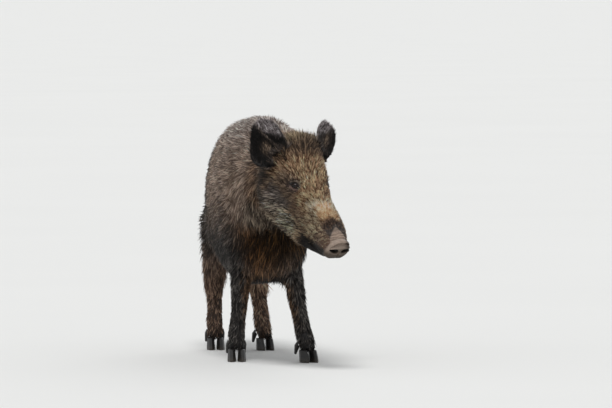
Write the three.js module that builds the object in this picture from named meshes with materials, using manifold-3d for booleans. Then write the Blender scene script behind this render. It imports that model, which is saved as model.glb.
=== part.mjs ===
// A young wild boar, life size, standing with its head turned a little to its left.
// Millimetres, +Z up. The boar faces -Y and its own left side is +X. The floor is z = 0.
// Every solid reaches out to the tips of the coat. The body is modelled whole, as lofts joined
// together, and is then parted with thin cuts into the pieces a person would name.

import * as THREE from "three";
import { mergeVertices } from "three/addons/utils/BufferGeometryUtils.js";
import Module from "manifold-3d";

const wasm = await Module();
wasm.setup();

// ---------------------------------------------------------------------------------------------
// Driving dimensions

const GAP = 0.4; // width of every cut between two pieces of the body
const WITHERS = 610; // height of the coat over the shoulders
const BELLY = 186; // lowest hairs of the belly
const CHEST_HALF = 117; // half the width across the shoulders
const HIP_HALF = 86; // half the width across the haunches

const HEAD_LENGTH = 322; // from the back of the skull to the face of the snout
const HEAD_TURN = 25; // degrees, towards the boar's left
const HEAD_DROP = 45; // degrees, the snout below the level
const SNOUT_FACE = [95, -452, 292]; // centre of the snout's face

const EAR_LENGTH = 112;
const EAR_HALF = 44;
const EYE_RADIUS = 10.5;

const TAIL_LENGTH = 190;

// ---------------------------------------------------------------------------------------------
// Lofts: rings of points along a path, closed at both ends

// Runs a smooth curve through rows of named values: each span of two rows is cut into `steps`.
function smoothRows(rows, steps) {
  const keys = Object.keys(rows[0]);
  const at = (i, key) => rows[Math.min(Math.max(i, 0), rows.length - 1)][key];
  const made = [];
  for (let i = 0; i < rows.length - 1; i++) {
    for (let k = 0; k < steps; k++) {
      const t = k / steps;
      const row = {};
      for (const key of keys) {
        const [a, b, c, d] = [at(i - 1, key), at(i, key), at(i + 1, key), at(i + 2, key)];
        const bend = t * (c - a + t * (2 * a - 5 * b + 4 * c - d + t * (3 * (b - c) + d - a)));
        row[key] = b + bend / 2;
      }
      made.push(row);
    }
  }
  made.push({ ...rows[rows.length - 1] });
  return made;
}

// One rounded section. `half` is half its width, `up` and `down` reach from its widest level, and
// `round` is 2 for an ellipse and more for a squarer form.
function section({ half, up, down, round = 2 }, sides) {
  const ring = [];
  for (let i = 0; i < sides; i++) {
    const angle = (2 * Math.PI * i) / sides;
    const power = 2 / round;
    const side = Math.sign(Math.cos(angle)) * Math.abs(Math.cos(angle)) ** power;
    const lift = Math.sign(Math.sin(angle)) * Math.abs(Math.sin(angle)) ** power;
    ring.push([half * side, (lift > 0 ? up : down) * lift]);
  }
  return ring;
}

// A closed body through rings of the same number of points, with a fan over each end.
function loft(rings) {
  const sides = rings[0].length;
  const points = rings.flat();
  const index = [];
  const corner = (r, i) => r * sides + (i % sides);
  for (let r = 0; r < rings.length - 1; r++) {
    for (let i = 0; i < sides; i++) {
      index.push(corner(r, i), corner(r, i + 1), corner(r + 1, i + 1));
      index.push(corner(r, i), corner(r + 1, i + 1), corner(r + 1, i));
    }
  }
  for (const r of [0, rings.length - 1]) {
    const middle = rings[r].reduce((sum, p) => sum.add(p), new THREE.Vector3());
    points.push(middle.divideScalar(sides));
    for (let i = 0; i < sides; i++) {
      const [a, b] = r ? [i, i + 1] : [i + 1, i];
      index.push(corner(r, a), corner(r, b), points.length - 1);
    }
  }
  const geometry = new THREE.BufferGeometry().setFromPoints(points);
  geometry.setIndex(index);
  return geometry;
}

// Rings across a path of rows with x, y, z and a section. Each ring stands square to the path,
// with its width along x.
function ringsAcross(rows, sides, grow = 0) {
  const side = new THREE.Vector3(1, 0, 0);
  const place = (row) => new THREE.Vector3(row.x, row.y, row.z);
  return rows.map((row, i) => {
    const before = place(rows[Math.max(i - 1, 0)]);
    const after = place(rows[Math.min(i + 1, rows.length - 1)]);
    const ahead = after.sub(before).normalize();
    const up = new THREE.Vector3().crossVectors(ahead, side).normalize();
    const right = new THREE.Vector3().crossVectors(up, ahead).normalize();
    const grown = { ...row, half: row.half + grow, up: row.up + grow, down: row.down + grow };
    return section(grown, sides).map(([s, l]) =>
      place(row).addScaledVector(right, s).addScaledVector(up, l),
    );
  });
}

// ---------------------------------------------------------------------------------------------
// Solids

// A closed geometry as a manifold-3d solid, turned the right way out.
function solid(geometry) {
  const bare = new THREE.BufferGeometry();
  bare.setAttribute("position", geometry.getAttribute("position"));
  bare.setIndex(geometry.getIndex());
  const merged = mergeVertices(bare, 1e-3);
  const vertProperties = new Float32Array(merged.getAttribute("position").array);
  const make = (triVerts) => new wasm.Manifold(new wasm.Mesh({ numProp: 3, vertProperties, triVerts }));
  const faces = new Uint32Array(merged.getIndex().array);
  const made = make(faces);
  return made.volume() > 0 ? made : make(faces.reverse());
}

const join = (solids) => solids.reduce((all, next) => all.add(next));

// The largest body of a solid, without slivers that a cut leaves.
function largest(made) {
  return made.decompose().reduce((best, body) => (body.volume() > best.volume() ? body : best));
}

// A manifold-3d solid as a geometry with flat faces.
function geometryOf(made) {
  const mesh = made.getMesh();
  const geometry = new THREE.BufferGeometry();
  geometry.setAttribute("position", new THREE.BufferAttribute(mesh.vertProperties, 3));
  geometry.setIndex(new THREE.BufferAttribute(mesh.triVerts, 1));
  geometry.computeVertexNormals();
  return geometry;
}

// A box between two corners, in the frame given.
function block([x0, y0, z0], [x1, y1, z1], frame = new THREE.Matrix4()) {
  const box = new THREE.BoxGeometry(x1 - x0, y1 - y0, z1 - z0);
  box.translate((x0 + x1) / 2, (y0 + y1) / 2, (z0 + z1) / 2);
  return solid(box.applyMatrix4(frame));
}

// A side outline, given as [y, z] points, carried across from x0 to x1.
function cutter(outline, x0, x1, frame = new THREE.Matrix4()) {
  const shape = new THREE.Shape(outline.map(([y, z]) => new THREE.Vector2(y, z)));
  const prism = new THREE.ExtrudeGeometry(shape, { depth: x1 - x0, bevelEnabled: false });
  // The shape's own x and y become y and z, and its depth becomes x.
  const turn = new THREE.Matrix4().set(0, 0, 1, x0, 1, 0, 0, 0, 0, 1, 0, 0, 0, 0, 0, 1);
  prism.deleteAttribute("normal");
  prism.deleteAttribute("uv");
  return solid(mergeVertices(prism.applyMatrix4(turn).applyMatrix4(frame), 1e-3));
}

// ---------------------------------------------------------------------------------------------
// Trunk: barrel-shaped and deep, nearly level along the back, with narrow hips

function trunk(grow = 0) {
  const rows = [
    { y: 527, top: 462, bottom: 400, half: 20, round: 2 },
    { y: 516, top: 496, bottom: 352, half: 50, round: 2 },
    { y: 472, top: 537, bottom: 290, half: HIP_HALF - 12, round: 2.05 },
    { y: 390, top: 571, bottom: 240, half: HIP_HALF + 1, round: 2.3 },
    { y: 290, top: 592, bottom: 208, half: HIP_HALF + 13, round: 2.25 },
    { y: 180, top: WITHERS - 6, bottom: BELLY, half: CHEST_HALF - 6, round: 2.1 },
    { y: 80, top: WITHERS - 1, bottom: BELLY + 2, half: CHEST_HALF, round: 2.1 },
    { y: -10, top: WITHERS, bottom: BELLY + 14, half: CHEST_HALF, round: 2.1 },
    { y: -75, top: WITHERS - 12, bottom: BELLY + 44, half: CHEST_HALF - 14, round: 2.1 },
    { y: -120, top: 560, bottom: BELLY + 82, half: 76, round: 2 },
    { y: -135, top: 500, bottom: BELLY + 140, half: 36, round: 2 },
  ];
  const rings = smoothRows(rows, 2).map(({ y, top, bottom, half, round }) => {
    const widest = bottom + 0.46 * (top - bottom);
    const shape = { half: half + grow, up: top - widest + grow, down: widest - bottom + grow, round };
    return section(shape, 24).map(([x, z]) => new THREE.Vector3(x, y, widest + z));
  });
  return solid(loft(rings));
}

// ---------------------------------------------------------------------------------------------
// Head: u runs from the back of the skull to the snout, v to the boar's left, w up through the brow

const radians = THREE.MathUtils.degToRad;
const turn = radians(HEAD_TURN);
const drop = radians(HEAD_DROP);
const ahead = new THREE.Vector3(
  Math.sin(turn) * Math.cos(drop),
  -Math.cos(turn) * Math.cos(drop),
  -Math.sin(drop),
);
const leftward = new THREE.Vector3(Math.cos(turn), Math.sin(turn), 0);
const browward = new THREE.Vector3().crossVectors(ahead, leftward);
const skullBack = new THREE.Vector3(...SNOUT_FACE).addScaledVector(ahead, -HEAD_LENGTH);
// Takes x = v, y = u, z = w in the head to the boar's own frame. It mirrors, and solid() sets that right.
const headFrame = new THREE.Matrix4().makeBasis(leftward, ahead, browward).setPosition(skullBack);
const inHead = (u, v, w) => new THREE.Vector3(v, u, w).applyMatrix4(headFrame);

// How far the surface swells at (u, angle): a soft mound of the height and spread given.
const mound = (u, angle, at) =>
  at.height *
  Math.exp(-(((u - at.u) / at.length) ** 2) - ((angle - radians(at.angle)) / radians(at.spread)) ** 2);

// Angles run from the boar's left side (0) over the brow (90) to its right side (180).
const HEAD_MOUNDS = [
  { u: 112, angle: 42, length: 24, spread: 20, height: 5 }, // brow over the eye
  { u: 100, angle: -28, length: 48, spread: 34, height: 8 }, // cheek ruff
  { u: 140, angle: 66, length: 34, spread: 14, height: -2 }, // hollow before the eye
  { u: 226, angle: -8, length: 26, spread: 22, height: 3 }, // lip over the tusk
];

function head(grow = 0) {
  const rows = [
    { u: -14, up: 84, down: 66, half: 58, round: 2.2 },
    { u: 16, up: 97, down: 104, half: 76, round: 2.1 },
    { u: 60, up: 86, down: 118, half: 79, round: 2.1 },
    { u: 100, up: 70, down: 118, half: 70, round: 2.15 },
    { u: 142, up: 54, down: 113, half: 58, round: 2.2 },
    { u: 182, up: 43, down: 100, half: 51, round: 2.25 },
    { u: 226, up: 40, down: 82, half: 50, round: 2.3 },
    { u: 268, up: 38, down: 58, half: 46, round: 2.3 },
    { u: 298, up: 31, down: 40, half: 34, round: 2.3 },
    { u: 309, up: 33, down: 31, half: 33, round: 2.2 },
    { u: HEAD_LENGTH - 3, up: 33, down: 29, half: 33, round: 2.2 },
    { u: HEAD_LENGTH, up: 29, down: 25, half: 29, round: 2.1 },
  ];
  const rings = smoothRows(rows, 2).map(({ u, up, down, half, round }) => {
    const shape = { half: half + grow, up: up + grow, down: down + grow, round };
    return section(shape, 24).map(([v, w]) => {
      const angle = Math.atan2(w, Math.abs(v));
      const swell = HEAD_MOUNDS.reduce((sum, at) => sum + mound(u, angle, at), 0);
      const reach = 1 + swell / Math.max(Math.hypot(v, w), 1);
      return inHead(u, v * reach, w * reach);
    });
  });
  return solid(loft(rings));
}

// ---------------------------------------------------------------------------------------------
// Neck: short and thick, from the shoulders to the back of the skull

function neck(grow = 0) {
  const start = new THREE.Vector3(0, 10, 410);
  const middle = new THREE.Vector3(2, -130, 440);
  const end = inHead(64, 0, -12);
  const path = new THREE.QuadraticBezierCurve3(start, middle, end);
  const rows = [
    { half: 110, up: 186, down: 182 },
    { half: 110, up: 172, down: 172 },
    { half: 102, up: 156, down: 158 },
    { half: 95, up: 142, down: 140 },
    { half: 84, up: 120, down: 122 },
    { half: 58, up: 62, down: 80 },
  ];
  const smooth = smoothRows(rows, 2);
  const rings = smooth.map((row, i) => {
    const t = i / (smooth.length - 1);
    const centre = path.getPoint(t);
    // The rings swing from upright, at the shoulders, to square across the head.
    const right = new THREE.Vector3(1, 0, 0).lerp(leftward, t).normalize();
    const up = new THREE.Vector3(0, 0, 1).lerp(browward, t ** 1.3).normalize();
    const shape = { half: row.half + grow, up: row.up + grow, down: row.down + grow, round: 2.1 };
    return section(shape, 24).map(([s, l]) =>
      centre.clone().addScaledVector(right, s).addScaledVector(up, l),
    );
  });
  return solid(loft(rings));
}

// ---------------------------------------------------------------------------------------------
// Ears: upright rounded leaves, cupped, opening forwards and outwards

// How each ear is set: how far out its root and tip are, how high its tip is and how far
// outwards it opens. The left ear is turned a little further forward, so its outer rim is
// folded in near the root; the right ear's stands out there as a broad lobe.
const EARS = {
  ear_left: {
    side: 1, rootOut: 68, tipOut: 117, tipRise: 80, outward: 0.34,
    outerHalf: [3, 15, 26, 36, 38, 34, 24],
  },
  ear_right: {
    side: -1, rootOut: 77, tipOut: 103, tipRise: 92, outward: 0.6,
    outerHalf: [24, 52, 59, 50, 38, 26, 13],
  },
};

function ear({ side, rootOut, tipOut, tipRise, outward, outerHalf }) {
  const root = inHead(62, side * rootOut, 54);
  const tip = inHead(-38, side * tipOut, tipRise);
  const along = tip.clone().sub(root).normalize();
  // The opening faces forwards and up, turned outwards, square to the ear's own length.
  const facing = inHead(0.42, side * outward, 0.7).sub(inHead(0, 0, 0));
  facing.addScaledVector(along, -facing.dot(along)).normalize();
  const across = new THREE.Vector3().crossVectors(along, facing);
  const rows = [
    { t: -0.12, innerHalf: 18, cup: 17, thick: 9 },
    { t: 0.06, innerHalf: 29, cup: 18, thick: 9 },
    { t: 0.25, innerHalf: 41, cup: 17, thick: 8 },
    { t: 0.48, innerHalf: EAR_HALF, cup: 14, thick: 7 },
    { t: 0.7, innerHalf: 40, cup: 10, thick: 6 },
    { t: 0.89, innerHalf: 29, cup: 5, thick: 5 },
    { t: 0.98, innerHalf: 14, cup: 2, thick: 3 },
  ].map((row, i) => ({ ...row, outerHalf: outerHalf[i] }));
  const steps = 4; // across the ear, from rim to rim
  const rings = smoothRows(rows, 2).map(({ t, innerHalf, outerHalf, cup, thick }) => {
    const centre = root.clone().addScaledVector(along, t * EAR_LENGTH);
    const point = (s, offset) =>
      centre
        .clone()
        .addScaledVector(across, s * (s * side > 0 ? outerHalf : innerHalf))
        .addScaledVector(facing, cup * (s * s - 1) + offset);
    const ring = [];
    for (let i = 0; i <= steps; i++) ring.push(point((2 * i) / steps - 1, thick / 2));
    for (let i = steps; i >= 0; i--) ring.push(point(((2 * i) / steps - 1) * 0.93, -thick / 2 - 1));
    return ring;
  });
  return solid(loft(rings));
}

// ---------------------------------------------------------------------------------------------
// Eyes: small balls, set in the sides of the head

const EYE_PLACE = { u: 130, v: 45, w: 31 };

function eye(side, radius = EYE_RADIUS) {
  const place = inHead(EYE_PLACE.u, side * EYE_PLACE.v, EYE_PLACE.w);
  return solid(new THREE.SphereGeometry(radius, 10, 7).translate(place.x, place.y, place.z));
}

// ---------------------------------------------------------------------------------------------
// Nostrils: oval pits in the face of the snout

function nostril(side) {
  const oval = new THREE.SphereGeometry(1, 8, 5).scale(8, 9, 5);
  const place = new THREE.Matrix4().makeTranslation(side * 17 + 3, HEAD_LENGTH, 7);
  return solid(oval.applyMatrix4(place).applyMatrix4(headFrame));
}

// ---------------------------------------------------------------------------------------------
// Legs

// Each leg's joints, as places in side view, and how wide and deep the coat is round each.
const FRONT_LEG = [
  { x: 50, y: -15, z: 425, half: 32, up: 80, down: 80 },
  { x: 56, y: -10, z: 366, half: 42, up: 86, down: 86 },
  { x: 59, y: -3, z: 312, half: 43, up: 70, down: 70 },
  { x: 59, y: 4, z: 266, half: 36, up: 46, down: 46 },
  { x: 59, y: 3, z: 226, half: 29, up: 33, down: 34 },
  { x: 60, y: 0, z: 176, half: 25, up: 27, down: 27 },
  { x: 61, y: 2, z: 120, half: 20.5, up: 22, down: 22 },
  { x: 62, y: 5, z: 72, half: 23, up: 25, down: 25 },
  { x: 62, y: -6, z: 44, half: 20, up: 20, down: 21 },
  { x: 62, y: -12, z: 26, half: 12, up: 12, down: 12 },
];
const HIND_LEG = [
  { x: 38, y: 412, z: 446, half: 30, up: 84, down: 84 },
  { x: 45, y: 406, z: 376, half: 40, up: 100, down: 100 },
  { x: 49, y: 408, z: 314, half: 39, up: 87, down: 87 },
  { x: 51, y: 424, z: 264, half: 34, up: 62, down: 61 },
  { x: 52, y: 442, z: 228, half: 28, up: 40, down: 42 },
  { x: 52, y: 452, z: 196, half: 25, up: 28, down: 32 },
  { x: 52, y: 451, z: 150, half: 22, up: 23, down: 24 },
  { x: 52, y: 446, z: 104, half: 21, up: 22, down: 22 },
  { x: 52, y: 440, z: 72, half: 23, up: 25, down: 25 },
  { x: 52, y: 427, z: 44, half: 20, up: 20, down: 21 },
  { x: 52, y: 421, z: 26, half: 12, up: 12, down: 12 },
];

// How each foot stands away from the plain stance, and the height where that starts.
const STANCES = {
  front_left: { joints: FRONT_LEG, side: 1, out: 34, forward: 46, from: 240, toeOut: 14 },
  front_right: { joints: FRONT_LEG, side: -1, out: 12, forward: -14, from: 240, toeOut: 6 },
  hind_left: { joints: HIND_LEG, side: 1, out: 16, forward: 24, from: 240, toeOut: 10 },
  hind_right: { joints: HIND_LEG, side: -1, out: 2, forward: -14, from: 240, toeOut: 4 },
};

// Moves a joint outwards and forwards, the more so the lower it is.
function stand(joint, { side, out, forward, from }) {
  const share = THREE.MathUtils.clamp((from - joint.z) / (from - 30), 0, 1);
  return { ...joint, x: side * (joint.x + out * share), y: joint.y - forward * share };
}

function leg(stance, grow = 0) {
  const rows = smoothRows(stance.joints.map((joint) => stand(joint, stance)), 2);
  return solid(loft(ringsAcross(rows, 10, grow)));
}

// The place and heading of a foot: x and y of the middle of its two hooves, and its turn.
function footFrame(stance) {
  const last = stand(stance.joints[stance.joints.length - 1], stance);
  const heading = radians(stance.side * stance.toeOut);
  return new THREE.Matrix4().makeRotationZ(heading).setPosition(last.x, last.y, 0);
}

// ---------------------------------------------------------------------------------------------
// Toes and hooves: two pointed main hooves that bear on the floor, and two dewclaws behind

const HOOF = { length: 46, width: 22, height: 31, apart: 12.5 };
const TOE_RADIUS = 13;

// A toe's flesh, from the fetlock down into its hoof.
function toe(frame, side, grow = 0) {
  const rows = [
    { x: side * 5, y: 8, z: 64 },
    { x: side * 9, y: 2, z: 46 },
    { x: side * HOOF.apart, y: -4, z: 30 },
    { x: side * HOOF.apart, y: -7, z: 18 },
  ].map((row, i) => {
    const radius = [14, TOE_RADIUS, TOE_RADIUS - 2, TOE_RADIUS - 6][i];
    return { ...row, half: radius, up: radius, down: radius };
  });
  return solid(loft(ringsAcross(rows, 8, grow)).applyMatrix4(frame));
}

// A hoof's outline from above, pointed in front and round behind, at a share of its full size.
function hoofRing(scale, shift, z, side) {
  const sides = 8;
  const ring = [];
  for (let i = 0; i < sides; i++) {
    const angle = (2 * Math.PI * i) / sides;
    const forward = Math.cos(angle);
    const point = forward > 0 ? 1 - 0.55 * forward ** 2 : 1;
    const across = (HOOF.width / 2) * Math.sin(angle) * point * scale;
    const length = (HOOF.length / 2) * forward * scale;
    ring.push(new THREE.Vector3(side * HOOF.apart + across, -6 - length + shift, z));
  }
  return ring;
}

function hoof(frame, side) {
  const rings = [
    hoofRing(0.96, 0, 0, side),
    hoofRing(1, 0, 5, side),
    hoofRing(0.93, 3, HOOF.height * 0.55, side),
    hoofRing(0.82, 8, HOOF.height, side),
  ];
  return solid(loft(rings).applyMatrix4(frame));
}

function dewclaw(frame, side) {
  const rows = [
    { x: side * 14, y: 10, z: 54, half: 8, up: 8, down: 8 },
    { x: side * 19, y: 25, z: 40, half: 8, up: 8, down: 8 },
    { x: side * 22, y: 30, z: 19, half: 3.5, up: 4, down: 4 },
  ];
  return solid(loft(ringsAcross(rows, 5)).applyMatrix4(frame));
}

// ---------------------------------------------------------------------------------------------
// Tail: thin, with a tassel, hanging behind

function tail() {
  const rows = [
    { t: 0, half: 17 },
    { t: 0.2, half: 15 },
    { t: 0.5, half: 11 },
    { t: 0.72, half: 12 },
    { t: 0.88, half: 11 },
    { t: 1, half: 4 },
  ].map(({ t, half }) => ({
    x: 6 * Math.sin(3 * t),
    y: 496 + 44 * Math.sin(1.9 * t) ** 0.8,
    z: 522 - TAIL_LENGTH * t ** 1.15,
    half,
    up: half,
    down: half,
  }));
  return solid(loft(ringsAcross(smoothRows(rows, 2), 8)));
}

// ---------------------------------------------------------------------------------------------
// Cuts

// A side outline with a round top, that stands on the floor, for parting a leg from the trunk.
function legOutline(y, reach, top, grow) {
  const outline = [];
  for (let i = 0; i <= 12; i++) {
    const angle = (Math.PI * i) / 12;
    const rise = (top - 300 + grow) * Math.sin(angle);
    outline.push([y - (reach + grow) * Math.cos(angle), 300 + rise]);
  }
  return [[y - reach - grow, -10], ...outline, [y + reach + grow, -10]];
}

function legCutter(name, grow = 0) {
  const front = name.startsWith("front");
  const outline = front ? legOutline(-12, 104, 416, grow) : legOutline(418, 126, 446, grow);
  const inner = (front ? 30 : 24) - grow;
  return name.endsWith("left") ? cutter(outline, inner, 260) : cutter(outline, -260, -inner);
}

// Everything in front of a line from behind the ears down to the angle of the jaw.
function headCutter(grow = 0) {
  const outline = [
    [500, 220],
    [14 - grow, 220],
    [14 - grow, 20],
    [48 - grow, -70],
    [84 - grow, -122 - grow],
    [150, -150 - grow],
    [500, -150 - grow],
  ];
  return cutter(outline, -220, 220, headFrame);
}

// Everything in the head under the mouth and in front of the throat.
function jawCutter(grow = 0) {
  const outline = [
    [HEAD_LENGTH + 30, -23 + grow],
    [HEAD_LENGTH - 60, -19 + grow],
    [HEAD_LENGTH - 128, -24 + grow],
    [HEAD_LENGTH - 196 - grow, -62],
    [HEAD_LENGTH - 222 - grow, -150],
    [HEAD_LENGTH + 30, -150],
  ];
  return cutter(outline, -130, 130, headFrame);
}

// ---------------------------------------------------------------------------------------------
// The whole body, and its pieces

const coronet = HOOF.height + GAP; // where the flesh of each foot ends, on its hooves
const flesh = join([
  trunk(),
  neck(),
  head(),
  ...Object.values(STANCES).map((stance) => leg(stance)),
  ...Object.values(STANCES).flatMap((stance) => [-1, 1].map((side) => toe(footFrame(stance), side))),
]).subtract(block([-300, -600, -50], [300, 600, coronet]));
const pieces = {};

// The legs are taken out first, so that the cuts round the neck leave them whole.
let rest = flesh;
for (const name of Object.keys(STANCES)) {
  pieces[`${name}_leg`] = largest(flesh.intersect(legCutter(name)));
  rest = rest.subtract(legCutter(name, GAP));
}

// The neck is parted from the trunk on a plane that slopes back towards the withers.
const neckFrame = new THREE.Matrix4().makeRotationX(radians(-14)).setPosition(0, -84, 430);
const behindNeck = block([-300, 0, -500], [300, 900, 500], neckFrame);
const beforeNeck = block([-300, -900, -500], [300, -GAP, 500], neckFrame);
pieces.trunk = largest(rest.intersect(behindNeck));
const front = rest.intersect(beforeNeck);

// The head is parted from the neck behind the ears and down behind the angle of the jaw.
pieces.neck = largest(front.subtract(headCutter(GAP)));
const sockets = join([eye(-1, EYE_RADIUS + GAP), eye(1, EYE_RADIUS + GAP)]);
const skull = front.intersect(headCutter()).subtract(sockets);

// The head is parted into the lower jaw, the face of the snout and the rest.
const discStart = HEAD_LENGTH - 16;
const beforeDisc = block([-200, -100, -200], [200, discStart - GAP, 200], headFrame);
const disc = block([-200, discStart, -200], [200, 500, 200], headFrame);
pieces.snout_disc = largest(
  skull.intersect(disc).subtract(jawCutter(GAP)).subtract(join([nostril(-1), nostril(1)])),
);
pieces.lower_jaw = largest(skull.intersect(beforeDisc).intersect(jawCutter()));
pieces.head = largest(skull.intersect(beforeDisc).subtract(jawCutter(GAP)));

pieces.eye_left = eye(1);
pieces.eye_right = eye(-1);
for (const [name, set] of Object.entries(EARS)) {
  pieces[name] = largest(ear(set).subtract(head(GAP)).subtract(neck(GAP)));
}
pieces.tail = largest(tail().subtract(trunk(GAP)));

for (const [name, stance] of Object.entries(STANCES)) {
  const frame = footFrame(stance);
  const grown = join([leg(stance, GAP), toe(frame, -1, GAP), toe(frame, 1, GAP)]);
  for (const [place, side] of [["outer", stance.side], ["inner", -stance.side]]) {
    pieces[`${name}_${place}_hoof`] = hoof(frame, side);
    pieces[`${name}_${place}_dewclaw`] = largest(dewclaw(frame, side).subtract(grown));
  }
}

// ---------------------------------------------------------------------------------------------
// Meshes

const finish = (color, roughness) => new THREE.MeshStandardMaterial({ color, roughness, metalness: 0 });
const FINISHES = {
  coat: finish(0x4a3c33, 0.85),
  darkCoat: finish(0x241f1e, 0.85),
  snout: finish(0x7a665c, 0.6),
  eye: finish(0x140d0a, 0.1),
  hoof: finish(0x2a2624, 0.45),
};

function finishOf(name) {
  if (/hoof|claw/.test(name)) return FINISHES.hoof;
  if (/eye/.test(name)) return FINISHES.eye;
  if (/snout/.test(name)) return FINISHES.snout;
  return /leg|ear|tail/.test(name) ? FINISHES.darkCoat : FINISHES.coat;
}

const boar = new THREE.Group();
for (const [name, made] of Object.entries(pieces)) {
  const mesh = new THREE.Mesh(geometryOf(made), finishOf(name));
  mesh.name = name;
  boar.add(mesh);
}

// The origin is on the floor, under the middle of the boar's box.
const extent = new THREE.Box3().setFromObject(boar);
const middle = extent.getCenter(new THREE.Vector3());
boar.position.set(-middle.x, -middle.y, -extent.min.z);

export default boar;
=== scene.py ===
import bpy
import numpy as np
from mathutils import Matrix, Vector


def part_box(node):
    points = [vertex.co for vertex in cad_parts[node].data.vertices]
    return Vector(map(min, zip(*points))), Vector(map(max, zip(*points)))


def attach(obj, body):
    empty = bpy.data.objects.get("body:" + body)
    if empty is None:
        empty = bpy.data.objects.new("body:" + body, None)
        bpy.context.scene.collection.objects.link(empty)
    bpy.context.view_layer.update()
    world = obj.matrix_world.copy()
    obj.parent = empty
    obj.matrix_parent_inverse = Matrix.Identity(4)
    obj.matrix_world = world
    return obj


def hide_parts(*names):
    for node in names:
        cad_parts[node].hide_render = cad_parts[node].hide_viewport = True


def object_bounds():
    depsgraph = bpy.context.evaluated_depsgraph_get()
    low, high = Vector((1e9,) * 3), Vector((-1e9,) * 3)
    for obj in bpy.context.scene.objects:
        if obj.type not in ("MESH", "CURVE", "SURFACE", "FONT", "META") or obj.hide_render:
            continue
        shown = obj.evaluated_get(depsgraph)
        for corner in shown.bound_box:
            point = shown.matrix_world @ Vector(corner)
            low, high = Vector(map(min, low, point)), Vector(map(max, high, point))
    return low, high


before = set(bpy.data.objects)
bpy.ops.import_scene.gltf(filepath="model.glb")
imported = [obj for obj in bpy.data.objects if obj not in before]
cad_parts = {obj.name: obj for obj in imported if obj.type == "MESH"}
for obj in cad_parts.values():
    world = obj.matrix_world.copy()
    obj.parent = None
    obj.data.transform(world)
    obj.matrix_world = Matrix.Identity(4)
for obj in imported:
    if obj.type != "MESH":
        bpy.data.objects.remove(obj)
cad_box = [[float(x) for x in corner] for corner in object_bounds()]

# ---------------------------------------------------------------------------------------------
# Camera: a long lens, low down and a little to the boar's right, so that it looks at the animal
# almost from the front. The boar stands to the left of the middle of the view.

AZIMUTH = np.radians(-10.6)
ELEVATION = np.radians(2.33)
DISTANCE = 13.0
AIM = (0.1247, 0.1412, 0.0748)  # from the middle of the boar's box

box_middle = np.mean(cad_box, axis=0)
away = np.array([
    np.sin(AZIMUTH) * np.cos(ELEVATION), -np.cos(AZIMUTH) * np.cos(ELEVATION), np.sin(ELEVATION)])
camera = bpy.data.objects.new("camera", bpy.data.cameras.new("camera"))
bpy.context.scene.collection.objects.link(camera)
camera.location = box_middle + AIM + DISTANCE * away
camera.rotation_euler = (np.pi / 2 - ELEVATION, 0, AZIMUTH)
camera.data.sensor_width = 36
camera.data.lens = 302.7
camera.data.clip_end = 4000
bpy.context.scene.camera = camera
bpy.context.scene.view_settings.view_transform = "Standard"

# ---------------------------------------------------------------------------------------------
# Floor and light: a wide level floor of pale matt studio paint under an even white sky, with two
# soft lamps, one high in front and a weak one behind.


def linear(code):
    """An sRGB hex value as linear red, green and blue: (c / 12.92) below 0.04045, and
    ((c + 0.055) / 1.055) to the power 2.4 above."""
    c = np.array([int(code[i:i + 2], 16) for i in (1, 3, 5)]) / 255
    return np.where(c <= 0.04045, c / 12.92, ((c + 0.055) / 1.055) ** 2.4)


def paint(code):
    """The same as a colour with full opacity, for a socket."""
    return (*linear(code), 1.0)


def add_node(tree, kind, settings={}, inputs={}):
    """Adds a node to the tree, sets its properties, and sets or links its inputs: an input is a
    value, or an output socket of another node."""
    node = tree.nodes.new(kind)
    for name, value in settings.items():
        setattr(node, name, value)
    for name, value in inputs.items():
        if isinstance(value, bpy.types.NodeSocket):
            tree.links.new(value, node.inputs[name])
        else:
            node.inputs[name].default_value = value
    return node


def new_material(name):
    """An empty material with its output node, as (material, tree, output)."""
    material = bpy.data.materials.new(name)
    material.use_nodes = True
    material.node_tree.nodes.clear()
    output = add_node(material.node_tree, "ShaderNodeOutputMaterial")
    return material, material.node_tree, output


def mesh_object(name, points, faces, material=None):
    """An object at the origin from an array of points and an array of triangles or quads, with
    smooth faces."""
    mesh = bpy.data.meshes.new(name)
    sides = faces.shape[1]
    mesh.vertices.add(len(points))
    mesh.vertices.foreach_set("co", np.ascontiguousarray(points, np.float32).ravel())
    mesh.loops.add(faces.size)
    mesh.loops.foreach_set("vertex_index", np.ascontiguousarray(faces, np.int32).ravel())
    mesh.polygons.add(len(faces))
    mesh.polygons.foreach_set("loop_start", np.arange(0, faces.size, sides, dtype=np.int32))
    mesh.polygons.foreach_set("use_smooth", np.ones(len(faces), bool))
    mesh.update(calc_edges=True)
    made = bpy.data.objects.new(name, mesh)
    bpy.context.scene.collection.objects.link(made)
    if material:
        mesh.materials.append(material)
    return made


# Matt studio paint: rolled on, with no gloss and faint blotches about 1.7 m wide.
BLOTCHES_PER_METRE = 0.6
floor_paint, tree, output = new_material("matt_studio_paint")
place = add_node(tree, "ShaderNodeTexCoord").outputs["Object"]
blotches = add_node(tree, "ShaderNodeTexNoise", {}, {"Vector": place, "Scale": BLOTCHES_PER_METRE})
shade = add_node(tree, "ShaderNodeMix", {"data_type": "RGBA"}, {
    "Factor": blotches.outputs["Fac"], "A": paint("#e6e6e4"), "B": paint("#eaeae8")})
matt = add_node(tree, "ShaderNodeBsdfPrincipled", {}, {
    "Base Color": shade.outputs["Result"], "Roughness": 0.95, "Specular IOR Level": 0.1})
tree.links.new(matt.outputs[0], output.inputs["Surface"])
floor_half = 1500.0
floor = mesh_object(
    "floor", floor_half * np.array([[-1, -1, 0], [1, -1, 0], [1, 1, 0], [-1, 1, 0]]),
    np.array([[0, 1, 2, 3]]), floor_paint)

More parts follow.
